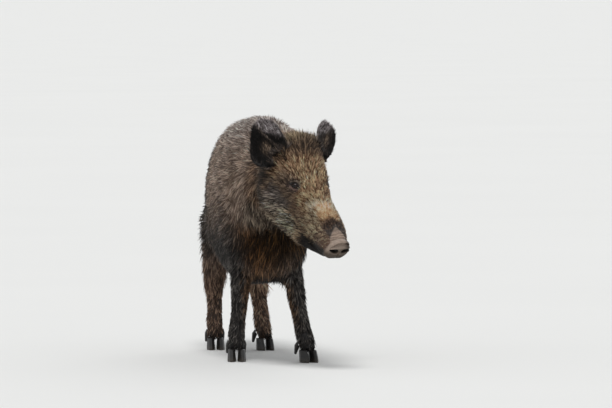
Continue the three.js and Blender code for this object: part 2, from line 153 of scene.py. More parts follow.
world = bpy.data.worlds.new("white_sky")
bpy.context.scene.world = world
world.use_nodes = True
world.node_tree.nodes.clear()
ray = add_node(world.node_tree, "ShaderNodeLightPath")
seen = add_node(world.node_tree, "ShaderNodeMath", {"operation": "MAXIMUM"}, {
    0: ray.outputs["Is Camera Ray"], 1: ray.outputs["Is Glossy Ray"]})
strength = add_node(world.node_tree, "ShaderNodeMapRange", {}, {
    "Value": seen.outputs[0], "To Min": 0.42, "To Max": 0.79})
sky = add_node(world.node_tree, "ShaderNodeBackground", {}, {
    "Color": paint("#fbfdff"), "Strength": strength.outputs["Result"]})
world_output = add_node(world.node_tree, "ShaderNodeOutputWorld")
world.node_tree.links.new(sky.outputs[0], world_output.inputs["Surface"])

for name, azimuth, elevation, power, spread in (
        ("front_lamp", -14, 58, 1.9, 20), ("back_lamp", 150, 40, 0.45, 40)):
    lamp = bpy.data.lights.new(name, "SUN")
    lamp.energy = power
    lamp.angle = np.radians(spread)
    held = bpy.data.objects.new(name, lamp)
    held.rotation_euler = (np.pi / 2 - np.radians(elevation), 0, np.radians(azimuth))
    bpy.context.scene.collection.objects.link(held)

# ---------------------------------------------------------------------------------------------
# Skin: the whole hide in one, from the snout to the pasterns, with the ears and tail on it. It
# is drawn over the modelled flesh and lies under the coat, as deep as the hair is thick there.


def unit(vectors):
    """Vectors divided by their own lengths."""
    return vectors / np.maximum(np.linalg.norm(vectors, axis=-1, keepdims=True), 1e-12)


def rising(x, low, high):
    """0 below low, 1 above high, and 3t^2 - 2t^3 between, where t runs from 0 to 1."""
    t = np.clip((x - low) / (high - low), 0, 1)
    return t * t * (3 - 2 * t)


def between(x, low, high, soft):
    """1 from low to high, fading to 0 over the soft distance outside them."""
    return rising(x, low - soft, low) * (1 - rising(x, high, high + soft))


def bell(x, top, width):
    """1 at the top and falling to both sides: e to the power of -((x - top) / width)^2."""
    return np.exp(-((x - top) / width) ** 2)


def middle(node):
    """The middle of a CAD node's box."""
    return np.mean([list(corner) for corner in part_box(node)], axis=0)


# The head's own directions come from its eyes: it is dropped 45 degrees and turned to its left.
left_eye, right_eye = middle("eye_left"), middle("eye_right")
leftward = unit(left_eye - right_eye)
ahead = (np.array([leftward[1], -leftward[0], 0]) - [0, 0, 1]) / np.sqrt(2)
browward = np.cross(ahead, leftward)
EYE_U, EYE_W = 0.130, 0.031
skull_back = (left_eye + right_eye) / 2 - EYE_U * ahead - EYE_W * browward

# How wide and deep the head is from the back of the skull to the snout's face, in metres.
HEAD_U = np.array([-14, 16, 60, 100, 142, 182, 226, 268, 298, 309, 322]) / 1000
HEAD_UP = np.array([84, 97, 86, 70, 54, 43, 40, 38, 31, 33, 29]) / 1000
HEAD_DOWN = np.array([66, 104, 118, 118, 113, 100, 82, 58, 40, 31, 25]) / 1000
HEAD_HALF = np.array([58, 76, 79, 70, 58, 51, 50, 46, 34, 33, 29]) / 1000


def in_head(u, v, w):
    """The point u ahead of the back of the skull, v to the left and w up towards the brow."""
    return skull_back + u * ahead + v * leftward + w * browward


def head_place(points):
    """u, v and w of points, and how far round the head they are: 90 degrees on top, 0 at the
    sides and -90 below."""
    u, v, w = ((points - skull_back) @ np.array([ahead, leftward, browward]).T).T
    depth = np.where(w > 0, np.interp(u, HEAD_U, HEAD_UP), np.interp(u, HEAD_U, HEAD_DOWN))
    around = np.degrees(np.arctan2(w / depth, np.abs(v) / np.interp(u, HEAD_U, HEAD_HALF)))
    return u, v, w, around


EAR_LENGTH = 0.112
EAR_T = np.array([-0.12, 0.06, 0.25, 0.48, 0.7, 0.89, 0.98])
EAR_INNER = np.array([18, 29, 41, 44, 40, 29, 14]) / 1000
EAR_OUTER = {
    1: np.array([3, 15, 26, 36, 38, 34, 24]) / 1000, -1: np.array([24, 52, 59, 50, 38, 26, 13]) / 1000}
EAR_CUP = np.array([17, 18, 17, 14, 10, 5, 2]) / 1000
ears = {}
for side, root_out, tip_out, tip_rise, outward in (
        (1, 0.068, 0.117, 0.080, 0.34), (-1, 0.077, 0.103, 0.092, 0.60)):
    root = in_head(0.062, side * root_out, 0.054)
    along = unit(in_head(-0.038, side * tip_out, tip_rise) - root)
    facing = 0.42 * ahead + side * outward * leftward + 0.7 * browward
    facing = unit(facing - (facing @ along) * along)
    ears[side] = root, along, facing, np.cross(along, facing)


def ear_place(points, side):
    """t from an ear's root (0) to its tip (1), s from rim to rim (-1 to 1), and the height over
    the ear's cupped sheet, on the side it opens to."""
    root, along, facing, across = ears[side]
    apart = points - root
    t = apart @ along / EAR_LENGTH
    s = apart @ across
    s = s / np.where(s * side > 0, np.interp(t, EAR_T, EAR_OUTER[side]), np.interp(t, EAR_T, EAR_INNER))
    height = apart @ facing - np.interp(t, EAR_T, EAR_CUP) * (s * s - 1)
    return t, s, height


def on_ear(points, side):
    """1 on an ear and 0 off it. The right ear's outer rim hangs down lower than its root."""
    t, s, height = ear_place(points, side)
    near = 1 - rising(np.abs(height), 0.012, 0.020)
    start = 0.04 - 0.22 * rising(s * side, 0.10, 0.50) * (side < 0)
    return rising(t - start, 0, 0.16) * (1 - rising(np.abs(s), 1.25, 1.6)) * near * (t < 1.25)


def on_ears(points):
    """1 on either ear and 0 off them."""
    return np.maximum(on_ear(points, 1), on_ear(points, -1))


def on_head(points):
    """1 on the head in front of the neck, ears left out, and 0 off it."""
    u, v, w, _ = head_place(points)
    return (rising(u + 0.25 * w, 0.005, 0.050) * rising(w, -0.165, -0.120)
            * (1 - rising(np.abs(v), 0.10, 0.13)) * (1 - on_ears(points)))


def on_leg(points):
    """1 on the legs below the belly, rising from 0 at the elbow and the stifle."""
    x, y, z = points.T
    belly = between(y, -0.10, 0.27, 0.03) * (1 - rising(np.abs(x), 0.030, 0.045))
    return (1 - rising(z, 0.20, 0.33)) * (1 - belly * (z > 0.165)) * (1 - on_head(points))


def on_tail(points):
    """1 on the tail, which hangs close behind the rump, and 0 off it."""
    x, y, z = points.T
    return rising(y, 0.474, 0.484) * (1 - rising(np.abs(x + 0.010), 0.020, 0.027)) * (z < 0.53)


def coat_depth(points):
    """How thick the coat is over the skin, in metres: thin on the face and feet, and deepest
    along the crest and the rump."""
    _, y, z = points.T
    u, _, w, around = head_place(points)
    depth = 0.014 + 0.007 * rising(z, 0.50, 0.59) + 0.004 * rising(y, 0.30, 0.45)
    depth = depth - 0.004 * (1 - rising(z, 0.22, 0.34))
    leg = on_leg(points)
    depth = depth + (0.0035 + 0.006 * rising(z, 0.16, 0.30) - depth) * leg
    face = 0.0022 + 0.0042 * (1 - rising(u, 0.06, 0.20)) + 0.0035 * rising(-around, 0, 60)
    face = face * (1 - rising(u, 0.235, 0.300)) + 0.0006
    eye = np.exp(-((u - EYE_U) ** 2 + (w - EYE_W) ** 2) / 0.028 ** 2)
    face = face - 0.0025 * eye * rising(around, -30, 0)
    depth = depth + (face - depth) * on_head(points)
    depth = depth + (0.0017 - depth) * on_ears(points)
    return depth + (0.004 - depth) * on_tail(points)


FLESH = (
    "trunk", "neck", "head", "lower_jaw", "snout_disc", "ear_left", "ear_right", "tail",
    "front_left_leg", "front_right_leg", "hind_left_leg", "hind_right_leg")


def mesh_arrays(mesh):
    """A mesh's points, in single precision as Blender stores them, and its triangles."""
    mesh.calc_loop_triangles()
    points = np.empty(3 * len(mesh.vertices), np.float32)
    mesh.vertices.foreach_get("co", points)
    faces = np.empty(3 * len(mesh.loop_triangles), np.int32)
    mesh.loop_triangles.foreach_get("vertices", faces)
    return points.reshape(-1, 3), faces.reshape(-1, 3)


def merged_mesh(node, swell):
    """A CAD node's points, merged, each moved outwards by swell, and its triangles."""
    points, faces = mesh_arrays(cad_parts[node].data)
    points, same = np.unique(points.round(6), axis=0, return_inverse=True)
    faces = same.reshape(-1)[faces]
    faces = faces[(faces != np.roll(faces, 1, axis=1)).all(axis=1)]
    return points + swell * outward_normals(points, faces), faces


def outward_normals(points, faces):
    """At each point, the sum of its triangles' cross products, made one long."""
    a, b, c = points[faces[:, 0]], points[faces[:, 1]], points[faces[:, 2]]
    cross = np.repeat(np.cross(b - a, c - a), 3, axis=0)
    total = [np.bincount(faces.ravel(), cross[:, i], len(points)) for i in range(3)]
    return unit(np.stack(total, axis=1))


def modified(made, kind, **settings):
    """The points and triangles of an object's mesh after one modifier, and the object's end."""
    step = made.modifiers.new(kind.lower(), kind)
    for name, value in settings.items():
        setattr(step, name, value)
    finished = made.evaluated_get(bpy.context.evaluated_depsgraph_get())
    points, faces = mesh_arrays(finished.to_mesh())
    bpy.data.objects.remove(made)
    return points.astype(float), faces


def remeshed(nodes, swell, voxel):
    """CAD nodes joined and covered in one closed even mesh, with its squares this long."""
    parts = [merged_mesh(node, swell) for node in nodes]
    starts = np.cumsum([0] + [len(points) for points, _ in parts[:-1]])
    points = np.concatenate([points for points, _ in parts])
    faces = np.concatenate([faces + start for (_, faces), start in zip(parts, starts)])
    joined = mesh_object("joined", points, faces)
    return modified(joined, "REMESH", mode="VOXEL", voxel_size=voxel)


def neighbours(faces):
    """Each edge of the triangles, both ways round, once, in order, and where each point's own
    edges start."""
    count = int(faces.max()) + 1
    ends = np.concatenate([faces[:, [0, 1]], faces[:, [1, 2]], faces[:, [2, 0]]]).astype(np.int64)
    ends = np.concatenate([ends, ends[:, ::-1]])
    edges = np.stack(np.divmod(np.unique(ends[:, 0] * count + ends[:, 1]), count), axis=1)
    return edges, np.flatnonzero(np.diff(edges[:, 0], prepend=-1))


def relaxed(points, faces, passes, share=0.5):
    """Each point moved, in each pass, by this share of the way to its neighbours' middle."""
    edges, starts = neighbours(faces)
    counts = np.diff(starts, append=len(edges))[:, None]
    share = np.reshape(share, (-1, 1))
    for _ in range(passes):
        middles = np.add.reduceat(points[edges[:, 1]], starts, axis=0) / counts
        points = points + share * (middles - points)
    return points


def outer_shell(points, faces):
    """The faces that hang together with the highest point: every point takes the lowest number
    among its neighbours, over and over, until each separate shell has one number."""
    edges, starts = neighbours(faces)
    shell, before = np.arange(len(points)), None
    while before is None or (shell != before).any():
        before = shell
        shell = np.minimum(shell, np.minimum.reduceat(shell[edges[:, 1]], starts))
        shell = shell[shell]
    kept = faces[shell[faces[:, 0]] == shell[points[:, 2].argmax()]]
    used, renamed = np.unique(kept, return_inverse=True)
    return points[used], renamed.reshape(-1, 3)


# The eyes are taken in here so that the hide runs on over them; the lids are cut later.
points, faces = remeshed(FLESH + ("eye_left", "eye_right"), swell=0.0006, voxel=0.0026)
points, faces = outer_shell(points, faces)
# Broad parts, off the head, ears and tail, are smoothed until the solids' flat faces are gone.
broad = (1 - on_head(points)) * (1 - on_ears(points))
broad = broad * (1 - on_tail(points)) * (1 - 0.85 * on_leg(points))
points = relaxed(points, faces, passes=5)
points = relaxed(points, faces, passes=70, share=0.6 * broad + 0.03)
points = points - coat_depth(points)[:, None] * outward_normals(points, faces)
points = relaxed(points, faces, passes=4, share=0.5 * np.maximum(broad, 0.4))


def thinned(points, faces, share, keep):
    """Fewer triangles, where keep is low: the shape's flattest edges are closed up first."""
    body = mesh_object("thinned", points, faces)
    group = body.vertex_groups.new(name="thin")
    for level in range(5):
        chosen = np.flatnonzero(np.round(4 * (1 - keep)) == level)
        group.add(chosen.tolist(), level / 4, "REPLACE")
    return modified(body, "DECIMATE", ratio=share, vertex_group="thin", vertex_group_factor=10.0)


def halved(points, faces, chosen):
    """Each edge between two chosen points cut in half. A triangle is cut in four where all its
    edges are halved, and in two where one is; its corners are turned so that one comes first."""
    chosen_face = chosen[faces]
    cut = chosen_face & np.roll(chosen_face, -1, axis=1)
    edges = np.stack([faces, np.roll(faces, -1, axis=1)], axis=2)
    ends = np.sort(edges[cut], axis=1).astype(np.int64)
    keys, place = np.unique(ends[:, 0] * len(points) + ends[:, 1], return_inverse=True)
    halves = points[keys // len(points)] / 2 + points[keys % len(points)] / 2
    middles = np.full(faces.shape, -1)
    middles[cut] = len(points) + place.reshape(-1)
    kept = [faces[~cut.any(axis=1)]]
    count = cut.sum(axis=1)
    a, b, c = faces[count == 3].T
    ab, bc, ca = middles[count == 3].T
    kept += [np.stack(t, axis=1) for t in ((a, ab, ca), (b, bc, ab), (c, ca, bc), (ab, bc, ca))]
    for turn in range(3):
        one = (count == 1) & cut[:, turn]
        a, b, c = np.roll(faces[one], -turn, axis=1).T
        ab = middles[one, turn]
        kept += [np.stack(t, axis=1) for t in ((a, ab, c), (ab, b, c))]
    return np.concatenate([points, halves]), np.concatenate(kept)


EYE_RADIUS = 0.0105
LID_HALF, LID_HEIGHTS = 0.0094, (0.0058, 0.0042)
LID_THICKNESS = 0.0013
# Each fold of the lids: how far it stands out, how far it is past the lid's edge, its width.
LID_FOLDS = ((-0.0016, 0.0030, 0.0010), (0.0018, 0.0060, 0.0015), (-0.0016, 0.0094, 0.0013))
SNOUT_U = 0.3205
SNOUT_MIDDLE_V = 0.003
NOSTRIL_OUT, NOSTRIL_UP = 0.0190, 0.006
# The line of the mouth on the side of the head, from its corner to below the snout.
MOUTH_U = np.array([0.110, 0.126, 0.194, 0.262, 0.318])
MOUTH_W = np.array([-0.080, -0.062, -0.024, -0.019, -0.025])
eye_axes = {}
for side in (1, -1):
    gaze = unit(0.305 * ahead + side * 0.83 * leftward + 0.466 * browward)
    slit = ahead + 0.53 * browward
    slit = unit(slit - (slit @ gaze) * gaze)
    lid_up = -side * np.cross(slit, gaze)
    ball = (left_eye if side > 0 else right_eye) - 0.0022 * gaze
    eye_axes[side] = ball, slit, lid_up * np.sign(lid_up @ browward), gaze


def eye_place(points, side):
    """Distances from the middle of an eyeball: along its slit towards the snout, up, and out."""
    ball, slit, lid_up, gaze = eye_axes[side]
    return ((points - ball) @ np.array([slit, lid_up, gaze]).T).T


def lid_height(b):
    """How high the lens between the lids is at its middle, above the slit or below it."""
    return np.where(b > 0, *LID_HEIGHTS)


def lid_gap(a, b):
    """The lens between the lids: a squared over its half length squared, plus b over its height
    there, which is 1 along the lids' edges and less between them."""
    return (a / LID_HALF) ** 2 + np.abs(b) / lid_height(b)


def lids(points, side):
    """The hide round an eye. Between the lids it goes in behind the eyeball; the lids lie on a
    slightly larger ball, and folds, each a bell curve of the distance from the slit, ring them."""
    a, b, c = eye_place(points, side)
    near = (np.hypot(a, b) < 0.026) & (c > -0.004)
    gap = lid_gap(a, b)
    along, across = (a / LID_HALF) ** 2, np.abs(b) / lid_height(b)
    # Points close to the lids' edges are drawn onto them, so that the edges are clean lines.
    onto = (np.sqrt(across ** 2 + 4 * along) - across) / np.maximum(2 * along, 1e-9)
    snap = near & (np.abs(onto - 1) * np.hypot(a, b) < 0.00022)
    a, b, gap = np.where(snap, a * onto, a), np.where(snap, b * onto, b), np.where(snap, 1, gap)
    reach = a * a + b * b
    lid = np.sqrt(np.maximum((EYE_RADIUS + LID_THICKNESS) ** 2 - reach, 0))
    past = np.abs(b) - lid_height(b) * np.maximum(1 - (a / LID_HALF) ** 2, 0)
    fold = 0
    for rise, place, width in LID_FOLDS:
        fold = fold + rise * bell(past, place, width)
    fold = fold + 0.0026 * bell(past, 0.0140, 0.0028) * (b > 0)
    corners = np.exp(-(a / 0.013) ** 4)
    outside = np.maximum(c, lid) + fold * corners * np.where(b > 0, 1, 0.6)
    inside = np.sqrt(np.maximum(EYE_RADIUS ** 2 - reach, 0)) - 0.0022
    out = np.where(gap < 0.999, inside, outside)
    ball, slit, lid_up, gaze = eye_axes[side]
    moved = ball + a[:, None] * slit + b[:, None] * lid_up + out[:, None] * gaze
    return np.where(near[:, None], moved, points)


def nostril_place(v, w):
    """How far a point of the snout's face is from the nearer nostril's rim, which is at 1: an
    oval that is tapered and lifted towards the outside."""
    side = np.where(v > SNOUT_MIDDLE_V, 1, -1)
    out = (v - SNOUT_MIDDLE_V) * side - NOSTRIL_OUT + 0.0006
    up = w - NOSTRIL_UP - 0.20 * out
    return np.sqrt((out / 0.0136) ** 2 + (up / (0.0068 - 0.14 * np.clip(out, -0.01, 0.014))) ** 2)


def nose_creases(u, v, around):
    """1 in the creases that run across the top of the nose, 13 to 6 mm apart towards the snout
    and deeper there and at the sides, and 0 between: a cosine of the place along it, to the
    power of 4, bent by slower sines."""
    bent = u + 0.0022 * np.sin(v / 0.0085) + 0.0005 * np.sin(v / 0.0023 + 1) + 3.0 * v * v
    turns = (bent - 0.262) / 0.0086 + 0.35 * np.sin(bent / 0.0068)
    crease = (0.5 + 0.5 * np.cos(2 * np.pi * turns)) ** 4
    depth = 0.35 + 0.65 * rising(u, 0.275, 0.302) * rising(np.abs(v), 0.000, 0.016)
    return crease * depth * between(u, 0.262, 0.306, 0.010) * rising(around, -20, 30)


def snout(points):
    """The snout's face is drawn flat, a little full, with nostrils as pits whose depth goes by
    the root of 1 less the rim distance squared, and with creases across the nose behind it."""
    u, v, w, around = head_place(points)
    middle_out = np.hypot((v - 0.001) / 0.0325, (w - 0.001) / 0.0300)
    face = (u > 0.3125) & (middle_out < 1)
    rim = nostril_place(v, w)
    front = SNOUT_U + 0.0010 * (1 - middle_out ** 2) - 0.0025 * rising(middle_out, 0.88, 1.0)
    # A full upper rim runs over the nostrils, and behind it the face falls back to the nose.
    upper = w - 0.0165 + 9.0 * (v - 0.001) ** 2
    front = front + 0.0020 * bell(upper, 0, 0.0042) - 0.0075 * rising(upper, 0.0015, 0.0125)
    front = front - 0.0016 * bell(upper - 0.0080 + 0.0014 * np.sin(v / 0.004), 0, 0.0011)
    front = front - 0.0013 * bell(upper - 0.0125 + 0.0012 * np.sin(v / 0.003), 0, 0.0010)
    front = front + 0.0010 * bell(rim, 1.30, 0.20) * (w < 0.012)
    front = front - 0.0010 * bell(v, SNOUT_MIDDLE_V, 0.0016) * (w < 0.004)
    front = front - 0.0130 * np.sqrt(np.maximum(1 - rim ** 2, 0))
    u_new = np.where(face, front, u)
    on = on_head(points)
    swell = -0.0021 * nose_creases(u, v, around) - 0.0020 * bell(u, 0.3035, 0.0028)
    swell = swell + 0.0010 * bell(u, 0.3130, 0.0040)
    mouth = w - np.interp(u, MOUTH_U, MOUTH_W)
    lip = between(u, 0.120, 0.306, 0.010) * rising(np.abs(v), 0.006, 0.012)
    swell = swell - 0.0028 * bell(mouth, 0, 0.0015) * lip
    swell = swell + 0.0013 * bell(np.abs(mouth), 0.0045, 0.0024) * lip
    swell = np.where(face, 0, swell * on)
    outwards = 1 + swell / np.maximum(np.hypot(v, w), 0.012)
    moved = (skull_back + u_new[:, None] * ahead + (v * outwards)[:, None] * leftward
             + (w * outwards)[:, None] * browward)
    return np.where((on > 0.5)[:, None] & (u > 0.10)[:, None], moved, points)


def ear_folds(points, side):
    """Inside an ear, the bowl is deepened near its root and two long ridges run up it, each a
    bell curve across the ear."""
    t, s, height = ear_place(points, side)
    inner = on_ear(points, side) * rising(height, -0.0005, 0.0010)
    ridges = bell(s - 0.42 + 0.3 * t, 0, 0.075) + bell(s, -0.22, 0.085)
    rise = 0.0019 * ridges * between(t, 0.16, 0.62, 0.16)
    bowl = 0.0015 * bell(t, 0.20, 0.18) * np.maximum(1 - s * s, 0)
    _, along, facing, across = ears[side]
    on = on_ear(points, side)
    # The rims draw in by as much as their fringe of hair stands out.
    in_from_rim = -0.0015 * on * np.clip(s, -1, 1) * rising(t, 0.0, 0.35)
    down_from_tip = -0.0085 * on * np.clip(t, 0, 1) ** 2
    return (points + (inner * (rise - bowl))[:, None] * facing
            + in_from_rim[:, None] * across + down_from_tip[:, None] * along)


def eye_distance(points):
    """How far points are from the middle of the nearer eyeball."""
    return np.minimum(*(np.linalg.norm(points - eye_axes[side][0], axis=1) for side in (1, -1)))


keep = np.maximum(on_head(points), 0.8 * on_ears(points))
points, faces = thinned(points, faces, share=0.19, keep=keep)
# Three rounds of finer triangles: round the eyes, along the mouth, on the snout, at the nostrils.
for reach, nose in ((0.030, 0.272), (0.019, 0.312), (0.0125, 1)):
    u, v, w, _ = head_place(points)
    head = on_head(points) > 0.5
    fine = (eye_distance(points) < reach) | (head & (u > nose) & (w > -0.04))
    if nose < 0.28:
        fine |= head & between(u, 0.12, 0.31, 0.001).astype(bool) & (
            np.abs(w - np.interp(u, MOUTH_U, MOUTH_W)) < 0.008)
    if nose == 1:
        fine |= head & (u > 0.305) & (nostril_place(v, w) < 1.4)
    points, faces = halved(points, faces, fine)
    head = on_head(points) > 0.5
    touched = (eye_distance(points) < reach) | (head & (head_place(points)[0] > nose))
    points = relaxed(points, faces, passes=3, share=0.5 * touched)
points = snout(points)
for side in (1, -1):
    points = lids(points, side)
    points = ear_folds(points, side)


def bare_nose(u, v, around):
    """1 on the bare top of the nose: from its tip at u 0.27 it widens evenly to the snout."""
    wide = np.where(v < 0, 1500, 1250) * (u - 0.270)
    bare = rising(u, 0.266, 0.274) * (1 - rising(90 - around - wide, -4, 4))
    return bare * (1 - rising(90 - around, 44, 56))


# Each row of the markings is a part of the body, from 0 off it to 1 on it, and there the hairs'
# own colour, the colour of their pale tips, and the share of them that have such tips.
def body_markings(points):
    """The rows for the trunk, the neck, the legs and the underside."""
    x, y, z = points.T
    u, v, w, _ = head_place(points)
    head, leg = on_head(points), on_leg(points)
    shade_under_jaw = rising(u + 0.15 * v, 0.015, 0.045) * rising(w + 0.2 * v, -0.262, -0.205)
    shade_under_jaw = shade_under_jaw * (1 - head) * (y < -0.12)
    ruff = between(u, 0.02, 0.075, 0.02) * between(w, -0.180, -0.115, 0.020) * (1 - head)
    hind = leg * rising(y, 0.15, 0.25)
    # The left foreleg slants outwards, so the line between its two sides does too.
    inner_side = np.where(x > 0, rising(0.0976 - 0.24 * z - x, -0.002, 0.010), rising(x, -0.074, -0.062))
    return [
        (1 + 0 * x, "#6c5a4d", "#ceb6a4", 0.41),  # flank
        (1 - rising(z, 0.28, 0.46), "#151312", "#534e4a", 0.21),  # low on the sides
        (rising(z, 0.50, 0.59), "#7b6b62", "#dacdc4", 0.55),  # back
        (rising(y, 0.20, 0.38) * (1 - rising(z, 0.50, 0.58)), "#1f1a17", "#62574e", 0.27),  # painted shade on the rump
        (between(y, -0.36, -0.245, 0.03) * (z > 0.30), "#463529", "#b89a82", 0.34),  # painted shade on the neck behind the ears
        (rising(-y, 0.10, 0.16) * (1 - rising(z, 0.33, 0.40)) * (1 - head),
         "#2a1a0b", "#8c5a24", 0.32),  # throat and chest
        (between(z, 0.235, 0.295, 0.025) * (y < -0.11) * between(x, -0.045, 0.055, 0.03),
         "#281809", "#8f5f2c", 0.28),  # rusty hair at the bottom of the throat
        # painted shade on the throat under the jaw
        (shade_under_jaw, "#20150b", "#5e4222", 0.27),
        (0.8 * ruff, "#352c25", "#a99a88", 0.34),  # pale hair behind the corner of the jaw
        ((1 - rising(z, 0.230, 0.262)) * (1 - leg), "#0d0a08", "#1f1b16", 0.10),  # painted shade under the belly
        (leg, "#252221", "#7f7a75", 0.34),
        (leg * (x > 0.0), "#292625", "#8c8680", 0.38),  # left legs: the legs' colour painted paler, as painted light on them
        (0.8 * leg * inner_side * (y < 0.05) * rising(z, 0.07, 0.14), "#463425", "#a27d5c", 0.36),
        (hind, "#4c3c32", "#bb9c86", 0.42),
        (hind * (x > 0), "#564438", "#cbaa92", 0.45),  # left hind leg: the hind legs' colour painted paler, as painted light on it
        (leg * (1 - rising(z, 0.03, 0.06)), "#191614", "#3f3b38", 0.20),  # feet
    ]


def head_markings(points):
    """The rows for the head, from the crown to the snout's face."""
    u, v, w, around = head_place(points)
    head = on_head(points)
    mouth = w - np.interp(u, MOUTH_U, MOUTH_W)
    below_mouth = rising(-mouth, -0.002, 0.003) * (u > 0.10)
    nose_line = 90 - around
    band = rising(u - 0.00055 * nose_line, 0.240, 0.250) * (1 - rising(nose_line, 34, 48))
    bare = bare_nose(u, v, around)
    jaw_edge = np.interp(u, (0.10, 0.14, 0.21, 0.26, 0.30), (60, 50, 38, 32, 34))
    brow_edge = np.interp(u, (0.09, 0.13, 0.17, 0.21), (26, 28, 2, -2))
    snout_skin = head * rising(u + 0.010 * rising(around, 20, 55), 0.309, 0.315)
    return [
        (head, "#4a372b", "#d4b496", 0.38),
        (head * (1 - rising(u, 0.03, 0.06)), "#46382c", "#ceb796", 0.36),  # crown
        (head * between(u, 0.045, 0.080, 0.012) * rising(around, 45, 65),
         "#2a201a", "#9a8068", 0.26),  # dark hair between the ears and the brow
        (0.6 * head * between(u, 0.085, 0.150, 0.020) * between(around, 6, 34, 14),
         "#3e332b", "#a8937e", 0.30),  # round the eye
        (head * between(u, 0.088, 0.212, 0.020) * rising(around - brow_edge, 0, 34),
         "#4c2e20", "#f3c69c", 0.45),  # brow and the top of the muzzle
        (head * between(u, 0.020, 0.066, 0.012) * between(around, -60, 6, 12),
         "#211912", "#6e5a4a", 0.22),  # shade behind the cheek
        (0.7 * head * between(u, 0.060, 0.086, 0.010) * between(around, 14, 48, 10),
         "#64452e", "#e8bd96", 0.44),  # under the ear
        (head * between(u, 0.197, 0.222, 0.014) * between(around, 45, 72, 14),
         "#7c5c42", "#ffe6c4", 0.56),  # pale streak beside the bridge
        (head * between(u, 0.203, 0.238, 0.011) * rising(around, 50, 74),
         "#f7b67c", "#fff1d2", 0.90),  # ginger bridge of the nose, its hair also painted paler as a highlight where light falls on it
        (0.42 * head * between(u, 0.226, 0.247, 0.010) * rising(around, 46, 68),
         "#b57440", "#fbc98e", 0.66),  # a deeper ginger below it
        (0.75 * head * between(u, 0.100, 0.150, 0.025) * between(around, -26, -4, 12),
         "#3b393a", "#a39d9a", 0.27),  # slate patch under the eye
        (0.55 * head * between(u, 0.110, 0.160, 0.016) * between(around, -jaw_edge, -17, 8),
         "#2b241e", "#e6d3b8", 0.27),  # grey hair behind the whiskers
        (head * between(u, 0.155, 0.238, 0.016) * between(around, -jaw_edge, -17, 8),
         "#2a2119", "#ffe9c6", 0.30),  # pale whiskers of the cheek
        (head * between(u, 0.060, 0.100, 0.014) * rising(-around, 14, 30),
         "#2e2620", "#8d8072", 0.28),  # corner of the jaw
        (head * rising(-around - jaw_edge, 2, 14) * rising(u, 0.06, 0.12),
         "#141212", "#423e3c", 0.16),  # painted shade under the jaw
        (head * between(u, 0.222, 0.31, 0.016) * (1 - rising(around, 44, 60)),
         "#584336", "#e8caa6", 0.43),  # side of the muzzle
        (head * rising(u, 0.242, 0.268) * rising(-around, 0, 18),
         "#140f09", "#3a3023", 0.16),  # lips in front, darkened as painted shade
        (head * below_mouth * rising(u, 0.225, 0.250), "#120e0b", "#3d342b", 0.15),  # painted shade on the chin
        (head * bell(mouth, 0, 0.0034) * (u > 0.12), "#151110", "#241f1c", 0.10),  # painted shade along the line of the mouth
        (head * band, "#2b2019", "#7d6353", 0.28),  # dark band behind the snout
        (head * bare, "#968273", "#a18e80", 0.30),  # bare top of the nose
        (0.8 * head * bare * nose_creases(u, v, around), "#4d3e36", "#4d3e36", 0),  # painted shade in its creases
        (snout_skin, "#493b2e", "#5a4a3a", 0.30),  # snout's face
        (snout_skin * rising(w - 0.35 * v, 0.002, 0.020), "#938275", "#a08f84", 0.30),  # painted highlight on its top
        (snout_skin * rising(v + 0.3 * w, 0.014, 0.030), "#42362d", "#42362d", 0),  # painted shade on its far side
        (snout_skin * (1 - rising(w, -0.026, -0.003)), "#272019", "#272019", 0),  # painted shade on its under side
        (0.8 * snout_skin * bell(nostril_place(v, w), 1.45, 0.22) * (w < 0.004),
         "#655447", "#655447", 0),  # painted highlight on the lower rims of the nostrils
        (head * (u > 0.28) * (1 - rising(nostril_place(v, w), 0.90, 1.15)),
         "#0b0807", "#0b0807", 0),  # painted shade inside the nostrils
    ]


def ear_markings(points, side):
    """The rows for one ear: dark inside and at its rim, with pale hair at its tip and in it."""
    t, s, height = ear_place(points, side)
    ear, inner = on_ear(points, side), rising(height, -0.0022, 0.0004)
    shaded = between(t, -0.10, 0.25, 0.10) * (1 - rising(np.abs(s), 0.95, 1.15))
    shaded = shaded * rising(height, -0.004, 0.001) * (1 - rising(height, 0.020, 0.030))
    outer = s * side
    place, spread = (0.26, 0.12) if side < 0 else (0.48, 0.20)
    tuft = np.exp(-((outer - 0.18) / 0.19) ** 2 - ((t - place) / spread) ** 2)
    tip_fur = rising(t - 0.33 * outer, 0.56, 0.74) * (1.0 if side < 0 else 0.8)
    rim_line = bell(t - 0.75 * outer, 0.53, 0.035) * between(outer, -0.4, 0.5, 0.1)
    return [
        (shaded, "#15100d", "#2f2721", 0.15),  # under the ear's opening
        (ear, "#48403c", "#b5a9a2", 0.40),
        (ear * inner, "#080605", "#1a1613", 0.10),
        (0.7 * ear * inner * (side > 0) * (1 - rising(np.abs(s - 0.1), 0.4, 0.8)),
         "#221c18", "#6d6058", 0.34),
        (ear * inner * tuft * (0.95 if side < 0 else 0.5), "#4c4038", "#b9a28a", 0.44),  # hair in it
        (ear * rising(np.abs(s), 0.80, 0.97), "#171311", "#5a514c", 0.25),
        (ear * tip_fur, "#4f4846", "#cfc5c6", 0.46),
        (0.7 * ear * inner * rim_line * (side < 0), "#5d5048", "#a89a8e", 0.40),
    ]


